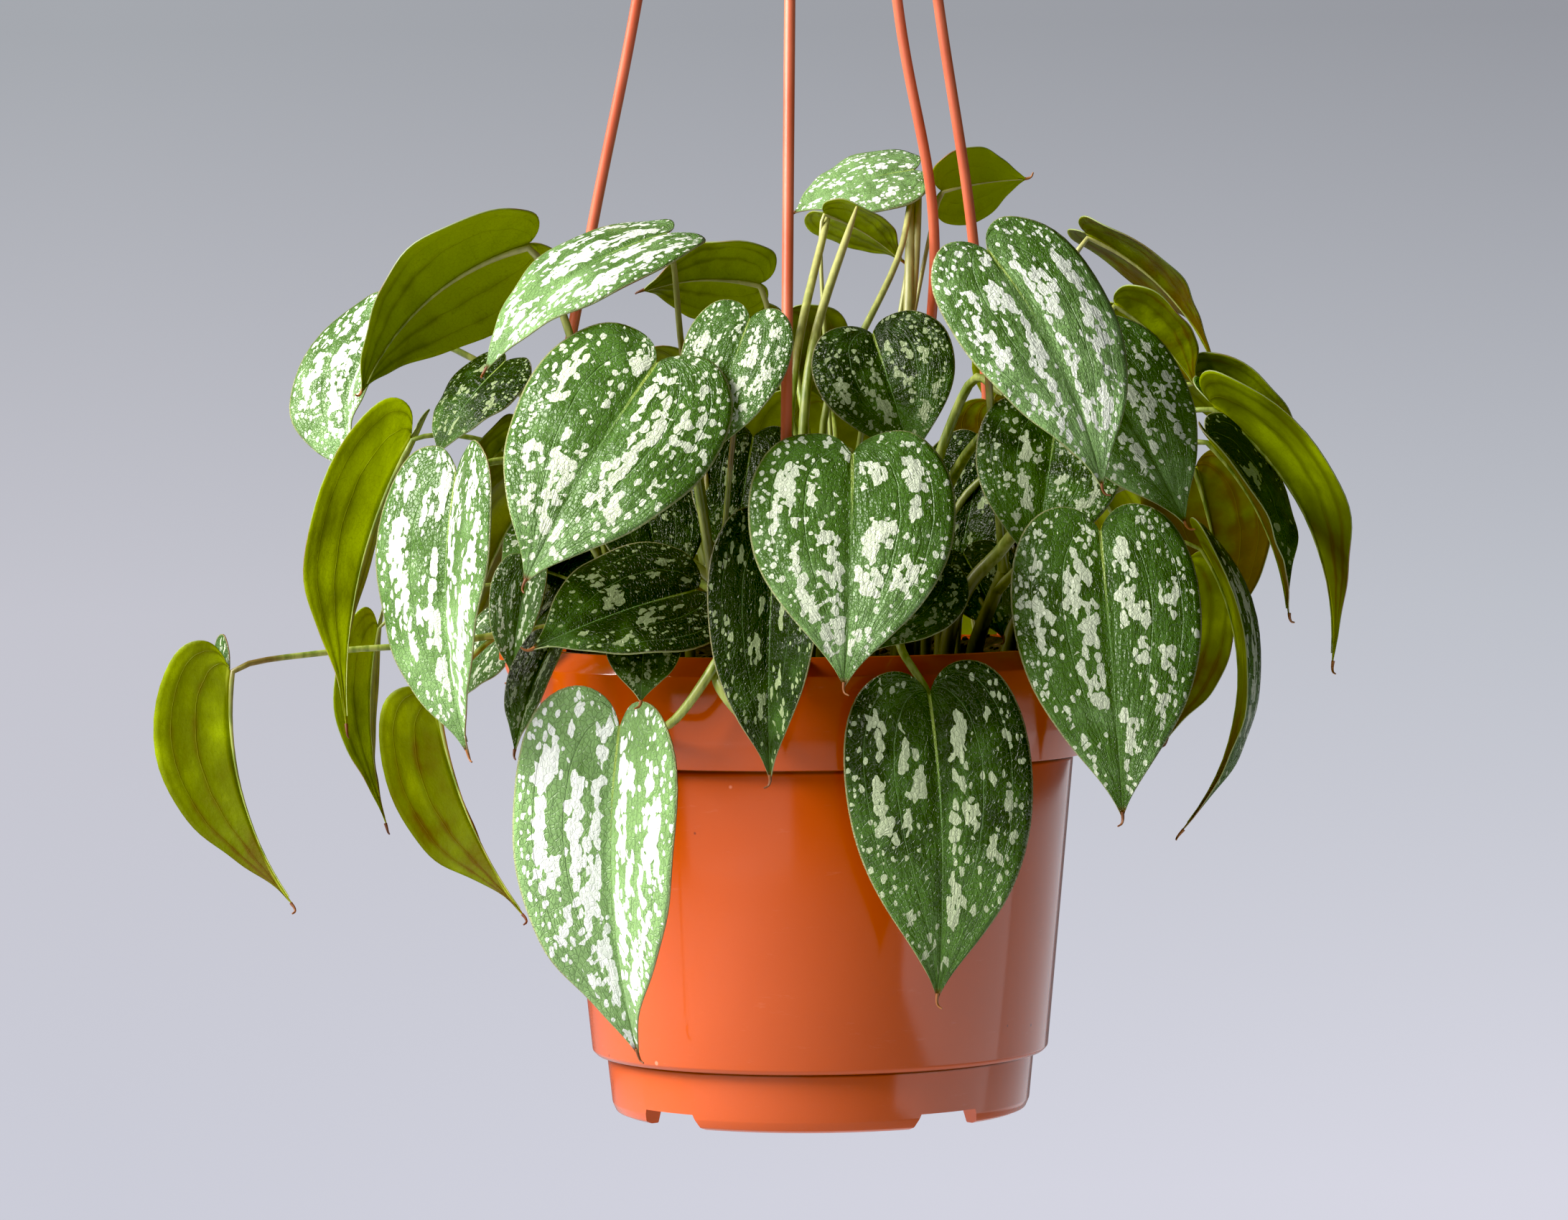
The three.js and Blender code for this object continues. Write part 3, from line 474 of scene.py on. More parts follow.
def catmull(points, share):
    """A point of the centripetal curve through points, at a share of its spans."""
    last = len(points) - 1
    at = min(share * last, last - 1e-9)
    i = int(at)
    local = at - i
    p1, p2 = points[i], points[i + 1]
    p0 = points[i - 1] if i > 0 else p1 * 2 - p2
    p3 = points[i + 2] if i + 2 <= last else p2 * 2 - p1
    d0, d1, d2 = (max((b - a).length, 1e-4) ** 0.5 for a, b in ((p0, p1), (p1, p2), (p2, p3)))
    m1 = ((p1 - p0) / d0 - (p2 - p0) / (d0 + d1) + (p2 - p1) / d1) * d1
    m2 = ((p2 - p1) / d1 - (p3 - p1) / (d1 + d2) + (p3 - p2) / d2) * d1
    c = (p2 - p1) * 3 - m1 * 2 - m2
    d = (p1 - p2) * 2 + m1 + m2
    return p1 + m1 * local + c * local ** 2 + d * local ** 3


def curve_points(points, count):
    """Evenly spaced points of the curve through points."""
    points = [Vector(p) for p in points]
    fine = [catmull(points, i / (12 * count)) for i in range(12 * count + 1)]
    lengths = [0.0]
    for a, b in zip(fine, fine[1:]):
        lengths.append(lengths[-1] + (b - a).length)
    spaced = []
    j = 0
    for i in range(count + 1):
        goal = lengths[-1] * i / count
        while j < len(lengths) - 2 and lengths[j + 1] < goal:
            j += 1
        span = max(lengths[j + 1] - lengths[j], 1e-9)
        spaced.append(fine[j].lerp(fine[j + 1], min(max((goal - lengths[j]) / span, 0), 1)))
    return spaced


def add_tube(bm, line, radius_at, sides=8):
    """A closed round tube along a line of points, its radius given by the share travelled."""
    last = len(line) - 1
    ahead = (line[1] - line[0]).normalized()
    turn = Vector((0, 0, 1)).rotation_difference(ahead).to_matrix()
    frame_now = Matrix.Translation(line[0]) @ turn.to_4x4()
    made = bmesh.ops.create_circle(bm, segments=sides, radius=radius_at(0), cap_ends=True)
    ring = made["verts"]
    bmesh.ops.transform(bm, matrix=frame_now, verts=ring)
    edges = list({edge for vert in ring for edge in vert.link_edges})
    for i in range(1, last + 1):
        heading = (line[min(i + 1, last)] - line[i - 1]).normalized()
        turn = ahead.rotation_difference(heading).to_matrix() @ turn
        ahead = heading
        grow = radius_at(i / last) / radius_at((i - 1) / last)
        frame_next = Matrix.Translation(line[i]) @ turn.to_4x4()
        extruded = bmesh.ops.extrude_edge_only(bm, edges=edges)["geom"]
        ring = [g for g in extruded if isinstance(g, bmesh.types.BMVert)]
        edges = [g for g in extruded if isinstance(g, bmesh.types.BMEdge)]
        move = frame_next @ Matrix.Scale(grow, 4) @ frame_now.inverted()
        bmesh.ops.transform(bm, matrix=move, verts=ring)
        frame_now = frame_next
    bmesh.ops.contextual_create(bm, geom=edges)


def metres(points):
    return [place(*p) for p in points]


def turned(profile, steps):
    """A closed bmesh turned about the pot's middle from a profile of radius and height."""
    bm = bmesh.new()
    verts = [bm.verts.new(place(r, 0, z)) for r, z in profile]
    edges = [bm.edges.new(pair) for pair in zip(verts, verts[1:])]
    bmesh.ops.spin(bm, geom=verts + edges, cent=place(0, 0, 0), axis=(0, 0, 1),
                   angle=2 * math.pi, steps=steps, use_merge=True)
    bmesh.ops.remove_doubles(bm, verts=bm.verts, dist=WELD)
    bmesh.ops.recalc_face_normals(bm, faces=bm.faces)
    return bm


def srgb(red, green, blue):
    """A colour seen as 0 to 255 values, as the linear colour a shader takes."""
    values = (v / 255 for v in (red, green, blue))
    return tuple(v / 12.92 if v <= 0.04045 else ((v + 0.055) / 1.055) ** 2.4
                 for v in values) + (1.0,)


class Finish:
    """A material under construction, with short names for the nodes that finishes use."""

    def __init__(self, name, roughness, coat=0.0, specular=0.5):
        self.material = bpy.data.materials.new(name)
        self.material.use_nodes = True
        self.nodes = self.material.node_tree.nodes
        self.links = self.material.node_tree.links
        self.shader = self.nodes["Principled BSDF"]
        self.shader.inputs["Roughness"].default_value = roughness
        self.shader.inputs["Coat Weight"].default_value = coat
        self.shader.inputs["Coat Roughness"].default_value = 0.2
        self.shader.inputs["Specular IOR Level"].default_value = specular

    def feed(self, socket, value):
        if isinstance(value, bpy.types.NodeSocket):
            self.links.new(value, socket)
        else:
            socket.default_value = value

    def node(self, kind, out, inputs, **settings):
        made = self.nodes.new(kind)
        for key, value in settings.items():
            setattr(made, key, value)
        for key, value in inputs.items():
            self.feed(made.inputs[key], value)
        return made.outputs[out] if out is not None else made

    def math(self, operation, *values):
        return self.node("ShaderNodeMath", 0, dict(enumerate(values)), operation=operation)

    def times(self, first, *others):
        for other in others:
            first = self.math("MULTIPLY", first, other)
        return first

    def scaled(self, value, factor, offset):
        return self.math("MULTIPLY_ADD", value, factor, offset)

    def vector(self, operation, *values):
        return self.node("ShaderNodeVectorMath", 0, dict(enumerate(values)), operation=operation)

    def stretched(self, place_now, factors):
        return self.vector("MULTIPLY", place_now, factors)

    def mix(self, share, *colours):
        """Two colours mixed by a share, each from a node or as seen 0 to 255 values."""
        made = self.node("ShaderNodeMix", None, {0: share}, data_type="RGBA")
        for socket, colour in zip(made.inputs[6:8], colours):
            self.feed(socket, srgb(*colour) if isinstance(colour, tuple) else colour)
        return made.outputs[2]

    def ease(self, value, low, high, start=0.0, end=1.0):
        """A smooth step from start to end as a value goes from low to high."""
        return self.node("ShaderNodeMapRange", 0,
                         {"Value": value, "From Min": low, "From Max": high,
                          "To Min": start, "To Max": end}, interpolation_type="SMOOTHSTEP")

    def near(self, value, centre, width):
        """1 at a centre, easing to 0 a width away on either side."""
        away = self.math("ABSOLUTE", self.math("SUBTRACT", value, centre))
        return self.ease(away, width, 0.0)

    def noise(self, vector, scale, detail=2.0, roughness=0.5, out="Fac"):
        return self.node("ShaderNodeTexNoise", out,
                         {"Vector": vector, "Scale": scale, "Detail": detail,
                          "Roughness": roughness})

    def cells(self, vector, scale, feature="F1", out="Distance"):
        return self.node("ShaderNodeTexVoronoi", out, {"Vector": vector, "Scale": scale},
                         feature=feature)

    def specks(self, place_now, scale, broad, fine, rarity):
        """Round specks in the cells whose chance is over the rarity."""
        spot = self.ease(self.cells(place_now, scale), broad, fine)
        chance, _, _ = self.split(self.cells(place_now, scale, out="Color"))
        return self.times(spot, self.math("GREATER_THAN", chance, rarity))

    def split(self, vector):
        made = self.node("ShaderNodeSeparateXYZ", None, {0: vector})
        return made.outputs[0], made.outputs[1], made.outputs[2]

    def join(self, x, y, z):
        return self.node("ShaderNodeCombineXYZ", 0, {0: x, 1: y, 2: z})

    def uv(self, name):
        return self.node("ShaderNodeUVMap", 0, {}, uv_map=name)

    def attribute(self, name):
        return self.node("ShaderNodeAttribute", "Color", {}, attribute_name=name)

    def object_place(self):
        return self.node("ShaderNodeTexCoord", "Object", {})

    def bump(self, height, strength, distance):
        normal = self.node("ShaderNodeBump", 0, {"Height": height, "Strength": strength,
                                                 "Distance": distance})
        self.feed(self.shader.inputs["Normal"], normal)

    def done(self, colour, roughness=None):
        self.feed(self.shader.inputs["Base Color"], colour)
        if roughness is not None:
            self.feed(self.shader.inputs["Roughness"], roughness)
        return self.material


def blade_places(finish):
    """The blade's own shares and looks, and a place for patterns in half widths."""
    s, t, _ = finish.split(finish.uv("blade"))
    across, down, _ = finish.split(finish.uv("flat"))
    seed, silver, tone = finish.split(finish.attribute("look"))
    depth = finish.times(seed, 40.0)
    flat = finish.join(across, finish.times(down, BLADE_RATIO), depth)
    return finish.math("ABSOLUTE", s), t, across, down, silver, tone, flat


def rib_line(finish, across, down, broad, fine):
    """The midrib as a line, broad at the notch and fine at the tip."""
    half = finish.ease(down, 0.0, 0.6, broad, fine)
    ratio = finish.math("DIVIDE", finish.math("ABSOLUTE", across), half)
    return finish.ease(ratio, 1.0, 0.55)


def vein_lines(finish, share, t, flat):
    """Fine arcs along the main side veins, slightly unsteady."""
    sway = finish.scaled(finish.noise(flat, 3.0), 0.05, -0.025)
    steady = finish.math("ADD", share, sway)
    lines = finish.math("MAXIMUM", finish.near(steady, INNER_VEIN, 0.011),
                        finish.near(steady, OUTER_VEIN, 0.009))
    return finish.times(lines, finish.ease(t, 0.95, 0.6))


def mark_cells(finish, flat, share, stretch):
    """Small cells on the blade: their centres and shares, two chances and distances."""
    stir = finish.vector("SUBTRACT", finish.noise(flat, 9.0, 3.0, out="Color"), (0.5, 0.5, 0.5))
    stirred = finish.vector("ADD", flat, finish.stretched(stir, (0.08, 0.1, 0.0)))
    place_now = finish.stretched(stirred, (1.0, stretch, 1.0))
    x, y, depth = finish.split(finish.cells(place_now, MARK_CELLS, out="Position"))
    first, second, _ = finish.split(finish.cells(place_now, MARK_CELLS, out="Color"))
    distance = finish.cells(place_now, MARK_CELLS)
    here, _, _ = finish.split(flat)
    beside = finish.math("MAXIMUM", finish.math("ABSOLUTE", here), 0.03)
    ratio = finish.math("DIVIDE", finish.math("ABSOLUTE", x), beside)
    there = finish.times(share, ratio)
    down = finish.math("DIVIDE", y, BLADE_RATIO * stretch)
    return there, down, finish.join(x, y, depth), first, second, distance


def silver_blotches(finish, flat, share, silver):
    """Silver blotches between the veins, each a cluster of small cells with bumpy edges."""
    there, down, centre, chance, _, distance = mark_cells(finish, flat, share, BLOTCH_STRETCH)
    middle = finish.times(finish.ease(there, 0.05, 0.14), finish.ease(there, 0.5, 0.4))
    outer = finish.times(finish.ease(there, 0.48, 0.56), finish.ease(there, 0.86, 0.76))
    band = finish.math("MAXIMUM", middle, finish.times(outer, 0.9))
    length = finish.times(finish.ease(down, -0.1, 0.22, 0.72, 1.0),
                         finish.ease(down, 0.97, 0.72, 0.66, 1.0))
    patch = finish.noise(finish.stretched(centre, (1.3, 0.9, 1.0)), 3.9, 0.0)
    patch = finish.math("ADD", patch, finish.scaled(chance, 0.12, -0.06))
    patch = finish.times(patch, finish.times(band, length))
    level = finish.scaled(silver, -0.38, 0.68)
    on = finish.math("GREATER_THAN", patch, level)
    wide = finish.ease(finish.noise(flat, 6.0), 0.4, 0.65, 0.8, 0.56)
    return finish.times(on, finish.ease(finish.math("SUBTRACT", wide, distance), 0.0, 0.04))


def silver_dots(finish, flat, share, t, silver):
    """Small round silver dots, many by the margin and a few between the blotches."""
    there, _, _, chance, size, distance = mark_cells(finish, flat, share, DOT_STRETCH)
    dot = finish.math("LESS_THAN", distance, finish.scaled(size, 0.24, 0.24))
    many = finish.times(finish.ease(there, 0.6, 0.82, 0.25, 1.0), finish.ease(there, 0.975, 0.945),
                        finish.ease(there, 0.07, 0.12), finish.scaled(silver, 0.8, 0.28))
    on = finish.math("LESS_THAN", chance, many)
    ends = finish.times(finish.ease(t, 0.03, 0.08), finish.ease(t, 0.985, 0.96),
                        finish.ease(share, 0.985, 0.97))
    return finish.times(dot, on, ends)


def satin_upper():
    """Upper side: dark green with silver marks, a pale midrib, a thin pale margin and a painted
    sheen towards the tip.
    """
    finish = Finish("satin_leaf_upper", roughness=0.36, specular=0.35)
    share, t, across, down, silver, tone, flat = blade_places(finish)
    marks = finish.math("MAXIMUM", silver_blotches(finish, flat, share, silver),
                        silver_dots(finish, flat, share, t, silver))
    lines = vein_lines(finish, share, t, flat)
    rib = rib_line(finish, across, down, 0.02, 0.007)
    cloud = finish.noise(flat, 2.6, 3.0)
    # Each leaf's tone is partly its own and partly painted light and shade for where it hangs; it
    # sets how light the green and the marks are.
    shade = finish.scaled(finish.math("SUBTRACT", cloud, 0.5), 0.8, tone)
    # Painted reflection: darker by the notch and paler towards the tip, where the blade curves
    # down.
    shade = finish.math("ADD", shade, finish.ease(down, 0.1, 0.9, -0.12, 0.22))
    green = finish.mix(finish.ease(shade, 0.0, 0.5), (20, 40, 3), (72, 108, 42))
    green = finish.mix(finish.ease(shade, 0.5, 1.05), green, (134, 172, 106))
    mesh = finish.cells(flat, 24.0, "DISTANCE_TO_EDGE")
    green = finish.mix(finish.ease(mesh, 0.06, 0.0, 0.0, 0.35), green, (24, 48, 20))
    green = finish.mix(finish.times(lines, 0.35), green, (128, 166, 104))
    grain = finish.noise(flat, 26.0, 3.0)
    pale = finish.mix(finish.ease(tone, 0.1, 0.5), (150, 166, 118), (214, 224, 196))
    pale = finish.mix(finish.ease(tone, 0.5, 0.95), pale, (242, 248, 238))
    pale = finish.mix(finish.ease(grain, 0.4, 0.62, 0.12, 0.0), pale, (140, 164, 120))
    colour = finish.mix(marks, green, pale)
    near_notch = finish.mix(finish.ease(down, 0.0, 0.4), (164, 186, 84), (112, 148, 84))
    colour = finish.mix(finish.times(rib, 0.85), colour, near_notch)
    edge = finish.ease(share, 0.976, 0.99)
    colour = finish.mix(finish.times(edge, 0.6), colour, (168, 164, 120))
    colour = finish.mix(finish.ease(down, 0.95, 0.98), colour, (104, 60, 24))
    height = finish.scaled(lines, -0.8, finish.times(marks, 0.3))
    height = finish.scaled(finish.noise(flat, 9.0, 2.0), 1.6, height)
    along = finish.join(finish.times(share, 5.0), finish.times(t, 1.8), across)
    crinkle = finish.noise(finish.vector("ADD", along, flat), 4.5, 2.0)
    height = finish.scaled(crinkle, 1.7, height)
    height = finish.math("ADD", height, finish.ease(mesh, 0.0, 0.12, 0.0, 0.4))
    finish.bump(height, 0.8, 0.0004)
    return finish.done(colour, finish.scaled(marks, 0.08, 0.25))


def satin_underside():
    """Underside: olive to brown, with painted light shining through it, raised veins and no silver.
    """
    finish = Finish("satin_leaf_underside", roughness=0.55, specular=0.15)
    share, t, across, down, _, tone, flat = blade_places(finish)
    lines = vein_lines(finish, share, t, flat)
    rib = rib_line(finish, across, down, 0.04, 0.012)
    cloud = finish.noise(flat, 1.8, 3.0)
    # The leaf's tone here also carries painted light and shade for where it hangs.
    shade = finish.scaled(finish.math("SUBTRACT", cloud, 0.5), 1.1, tone)
    shade = finish.math("ADD", shade, finish.ease(down, 0.15, 0.9, 0.08, -0.22))
    stripes = finish.math("MAXIMUM", finish.near(share, INNER_VEIN, 0.1),
                          finish.near(share, OUTER_VEIN, 0.09))
    shade = finish.scaled(stripes, -0.2, shade)
    # Painted light: the ramp's light yellow-green end stands for light shining through the blade.
    brown = finish.mix(finish.ease(shade, 0.0, 0.35), (84, 66, 2), (96, 106, 0))
    colour = finish.mix(finish.ease(shade, 0.3, 0.9), brown, (152, 172, 2))
    mesh = finish.cells(flat, 22.0, "DISTANCE_TO_EDGE")
    colour = finish.mix(finish.ease(mesh, 0.06, 0.0, 0.0, 0.3), colour, (70, 80, 0))
    colour = finish.mix(finish.times(lines, 0.18), colour, (140, 146, 30))
    colour = finish.mix(finish.times(rib, 0.6), colour, (158, 168, 44))
    height = finish.scaled(finish.noise(flat, 14.0, 3.0), 0.9, lines)
    finish.bump(height, 0.5, 0.0003)
    return finish.done(colour)


def satin_margin():
    """The blade's cut edge: thin and pale, with a reddish tinge in places."""
    finish = Finish("satin_leaf_margin", roughness=0.45)
    place_now = finish.object_place()
    blush = finish.ease(finish.noise(place_now, 45.0), 0.48, 0.66)
    return finish.done(finish.mix(blush, (136, 150, 92), (132, 100, 62)))


def dry_tip():
    """The blade's dry point: tan to dark brown."""
    finish = Finish("dry_leaf_tip", roughness=0.6)
    patch = finish.noise(finish.object_place(), 60.0)
    return finish.done(finish.mix(finish.ease(patch, 0.35, 0.65), (96, 50, 24), (158, 98, 44)))


def green_stalk():
    """Petioles and stems: yellow-green with brown flushes and fine streaks."""
    finish = Finish("green_stalk", roughness=0.42, coat=0.1)
    place_now = finish.object_place()
    flush = finish.ease(finish.noise(place_now, 22.0, 3.0), 0.5, 0.68)
    streak = finish.noise(finish.stretched(place_now, (9.0, 9.0, 1.5)), 60.0, 2.0)
    colour = finish.mix(finish.ease(streak, 0.35, 0.65), (112, 132, 48), (160, 172, 84))
    x, y, height = finish.split(place_now)
    flush = finish.times(flush, finish.ease(height, -0.4, -0.36, 1.0, 0.25))
    colour = finish.mix(flush, colour, (108, 74, 40))
    out = finish.math("SQRT", finish.scaled(x, x, finish.times(y, y)))
    deep = finish.times(finish.ease(out, 0.075, 0.055, 0.0, 0.8), finish.ease(height, -0.39, -0.46))
    colour = finish.mix(deep, colour, (62, 44, 22))
    colour = finish.mix(finish.ease(height, -0.39, -0.35, 0.0, 0.6), colour, (204, 196, 132))
    finish.bump(streak, 0.4, 0.0002)
    return finish.done(colour)


def pot_plastic():
    """Moulded orange-brown plastic: even, semi-gloss, with dust, specks, soft scuffs and painted
    shade along its two creases.
    """
    finish = Finish("pot_plastic", roughness=0.14, specular=0.4)
    place_now = finish.object_place()
    cloud = finish.noise(place_now, 14.0, 3.0)
    colour = finish.mix(finish.ease(cloud, 0.3, 0.7), (187, 74, 19), (195, 80, 23))
    scuff = finish.noise(finish.stretched(place_now, (1.0, 1.0, 5.0)), 90.0, 4.0, 0.7)
    colour = finish.mix(finish.ease(scuff, 0.62, 0.8, 0.0, 0.3), colour, (214, 130, 96))
    speck = finish.specks(place_now, 95.0, 0.07, 0.04, 0.8)
    colour = finish.mix(finish.times(speck, 0.7), colour, (228, 150, 118))
    _, _, height = finish.split(place_now)
    # Painted shade: a dark line along each crease, under the rim band's lip and under the step.
    for crease in SHADED_CREASES:
        crease_shade = finish.near(height, (crease - HANG_HEIGHT) * MM, 0.9 * MM)
        colour = finish.mix(finish.times(crease_shade, 0.75), colour, (52, 16, 8))
    dirt = finish.specks(place_now, 160.0, 0.09, 0.04, 0.88)
    colour = finish.mix(finish.times(dirt, 0.7), colour, (88, 30, 18))
    rough = finish.ease(finish.noise(place_now, 40.0, 4.0, 0.6), 0.3, 0.7, 0.1, 0.16)
    finish.bump(finish.noise(place_now, 900.0, 2.0), 0.08, 0.0001)
    return finish.done(colour, rough)


def strand_plastic():
    """The hanger's thin moulded plastic, a little pinker and clearer than the pot."""
    finish = Finish("hanger_plastic", roughness=0.32, coat=0.2)
    place_now = finish.object_place()
    cloud = finish.noise(place_now, 30.0, 3.0)
    colour = finish.mix(finish.ease(cloud, 0.3, 0.7), (206, 92, 62), (224, 116, 84))
    finish.bump(finish.noise(place_now, 300.0, 2.0), 0.2, 0.0001)
    return finish.done(colour, finish.ease(cloud, 0.3, 0.7, 0.28, 0.4))


def compost():
    """Dark potting compost: brown-black crumbs with a few paler fibres and bits of bark."""
    finish = Finish("potting_compost", roughness=0.95, specular=0.25)
    place_now = finish.object_place()
    crumb = finish.noise(place_now, 380.0, 4.0, 0.7)
    colour = finish.mix(finish.ease(crumb, 0.35, 0.7), (16, 10, 7), (58, 38, 24))
    bark = finish.specks(place_now, 260.0, 0.3, 0.2, 0.86)
    colour = finish.mix(bark, colour, (104, 66, 40))
    finish.bump(crumb, 1.0, 0.0012)
    return finish.done(colour)


def pale_floor():
    """A plain pale floor with the faintest mottling."""
    finish = Finish("pale_floor", roughness=0.85, specular=0.2)
    cloud = finish.noise(finish.object_place(), 3.0, 2.0)
    return finish.done(finish.mix(cloud, (206, 206, 216), (214, 214, 224)))


def stem_line(stem, count=48):
    """The stem's line from inside the compost to its end, and the stretch petioles start on."""
    foot, *rest = stem
    low = [(*foot, z) for z in (STEM_FOOT_Z, SOIL_CROWN_Z - 4, SOIL_CROWN_Z + 2)]
    whole = curve_points(low + list(rest), count)
    free = curve_points([low[-1], *rest], count)
    return whole, free


def stalk_size(leaf):
    """How thick a leaf's stalk is, by its blade's width."""
    return min(leaf.width / STALK_WIDTH, 1.15)


def petiole_line(leaf, free):
    """The petiole's line from the stem to the notch, and on under the blade as the midrib."""
    start = free[min(round(leaf.at * (len(free) - 1)), len(free) - 1)]
    size = stalk_size(leaf)
    notch = on_leaf(leaf, 0, 0, -1.5 * size)
    via = [Vector(p) for p in leaf.via]
    if not via:
        middle = start.lerp(notch, 0.5)
        middle.z = max(middle.z, notch.z - 4)
        via = [middle]
    rib = [on_leaf(leaf, 0, down, -size * (0.78 + 0.7 * (1 - down) ** 2))
           for down in (0.08, 0.2, 0.35, 0.5, 0.7, 0.85, 0.95)]
    stalk = curve_points([start, *via, notch, rib[0]], 22)
    under = curve_points([notch, *rib], 16)
    joined = [p for p in stalk if (p - notch).length > 1.0 and
              (p - rib[0]).length > (notch - rib[0]).length * 0.9]
    return joined, under


def drip_tip(bm, leaf, turn):
    """The short dry point past the blade's end, hooked to one side."""
    start, end = on_leaf(leaf, 0, 0.975), on_leaf(leaf, 0, 1)
    ahead = (end - start).normalized()
    aside = Vector(leaf.face).cross(ahead).normalized() * turn
    lift = Vector(leaf.face).normalized()
    line = curve_points([start, end, end + ahead * 1.2 + aside * 0.4 + lift * 0.3,
                         end + ahead * 1.9 + aside * 1.5 + lift * 0.9], 8)
    known = len(bm.faces)
    add_tube(bm, metres(line), lambda share: (0.5 - 0.28 * share) * MM, 6)
    bm.faces.ensure_lookup_table()
    for face in bm.faces[known:]:
        face.material_index = 1


def stalk_radius(share, cut, size):
    """The stalk's radius: swollen where it starts, slimmer to the notch, fading as a midrib."""
    if share < cut:
        part = share / cut
        radius = 1.25 - 0.35 * part + 0.5 * math.exp(-(part / 0.07) ** 2)
        radius += 0.05 * math.exp(-((1 - part) / 0.06) ** 2)
    else:
        part = (share - cut) / (1 - cut)
        radius = 0.75 * (1 - part) ** 2 + 0.2
    return radius * size * MM


def stalks(name, node, stem, leaves, materials):
    """One leafy stem's stem, petioles, midribs and drip tips."""
    bm = bmesh.new()
    whole, free = stem_line(stem)
    add_tube(bm, metres(whole), lambda share: (STEM_RADIUS - 0.5 * share) * MM, 12)
    for i, leaf in enumerate(leaves):
        drip_tip(bm, leaf, (-1) ** i)
        size = stalk_size(leaf)
        stalk, under = petiole_line(leaf, free)
        line = metres(stalk + under)
        cut = len(stalk) / len(line)
        add_tube(bm, line, lambda share: stalk_radius(share, cut, size), 8)
    for radius, points in CROWN_STALKS.get(node, ()):
        line = metres(curve_points(points, 24))
        add_tube(bm, line, lambda share: radius * (1.15 - 0.4 * share - 0.5 * share ** 24) * MM, 8)
    bmesh.ops.recalc_face_normals(bm, faces=bm.faces)
    smooth(bm, 60)
    finished(name, bm, materials, node)


def cutter(bm_tools, radius, height, centre, sides=24):
    """A round bar among the tools that cut openings in the pot."""
    matrix = Matrix.Translation(place(*centre))
    bmesh.ops.create_cone(bm_tools, cap_ends=True, segments=sides, radius1=radius * MM,
                          radius2=radius * MM, depth=height * MM, matrix=matrix)


def cut_with(piece, bm_tools, operation="DIFFERENCE"):
    """The piece's mesh after the tools are taken from it or added to it."""
    mesh = bpy.data.meshes.new("tools")
    bm_tools.to_mesh(mesh)
    bm_tools.free()
    tools = bpy.data.objects.new("tools", mesh)
    bpy.context.scene.collection.objects.link(tools)
    change = piece.modifiers.new("cut", "BOOLEAN")
    change.operation = operation
    change.solver = "EXACT"
    change.object = tools
    bpy.context.view_layer.update()
    graph = bpy.context.evaluated_depsgraph_get()
    fresh = bpy.data.meshes.new_from_object(piece.evaluated_get(graph))
    piece.modifiers.clear()
    old = piece.data
    piece.data = fresh
    fresh.name = piece.name
    bpy.data.meshes.remove(old)
    bpy.data.objects.remove(tools)
    bpy.data.meshes.remove(mesh)


def rim_eyes():
    """The flat tongues with round ends that the strands hang from."""
    bm = bmesh.new()
    for _, azimuth, _, _ in STRANDS:
        end = around(EYE_CIRCLE, azimuth, EYE_Z + EYE_THICK / 2)
        made = bmesh.ops.create_circle(bm, cap_ends=True, segments=32, radius=EYE_RADIUS * MM)
        for vert in made["verts"]:
            if vert.co.y > -WELD:
                vert.co.y += (EYE_CIRCLE - EYE_ROOT) * MM if vert.co.y > WELD else 0
                at_side = abs(vert.co.x) > WELD
                vert.co.x = math.copysign(EYE_RADIUS * MM, vert.co.x) if at_side else 0
        face = made["verts"][0].link_faces[0]
        solid = bmesh.ops.extrude_face_region(bm, geom=[face])["geom"]
        top = [g for g in solid if isinstance(g, bmesh.types.BMVert)]
        bmesh.ops.translate(bm, verts=top, vec=(0, 0, EYE_THICK * MM))
        verts = list(set(made["verts"] + top))
        turn = Matrix.Rotation(math.radians(azimuth), 4, "Z")
        low = Matrix.Translation(place(end[0], end[1], EYE_Z))
        bmesh.ops.transform(bm, matrix=low @ turn, verts=verts)
    bmesh.ops.recalc_face_normals(bm, faces=bm.faces)
    return bm


def foot_openings():
    """Tools for the notches in the foot, the drain holes and the holes in the eyes."""
    bm = bmesh.new()
    for azimuth in NOTCHES:
        made = bmesh.ops.create_cube(bm, size=1)
        bmesh.ops.scale(bm, vec=[side * MM for side in NOTCH_SIZE], verts=made["verts"])
        for vert in made["verts"]:
            if vert.co.z > 0:
                vert.co.x *= NOTCH_TAPER
        turn = Matrix.Rotation(math.radians(azimuth), 4, "Z")
        low = turn @ Matrix.Translation(place(0, -52.3, 1.2))
        bmesh.ops.transform(bm, matrix=low, verts=made["verts"])
    for i in range(DRAINS):
        cutter(bm, DRAIN_RADIUS, 6, around(DRAIN_CIRCLE, 360 / DRAINS * i, 5.8))
    for _, azimuth, _, _ in STRANDS:
        cutter(bm, EYE_HOLE, 9, around(EYE_CIRCLE, azimuth, EYE_Z + 1), 20)
    return bm


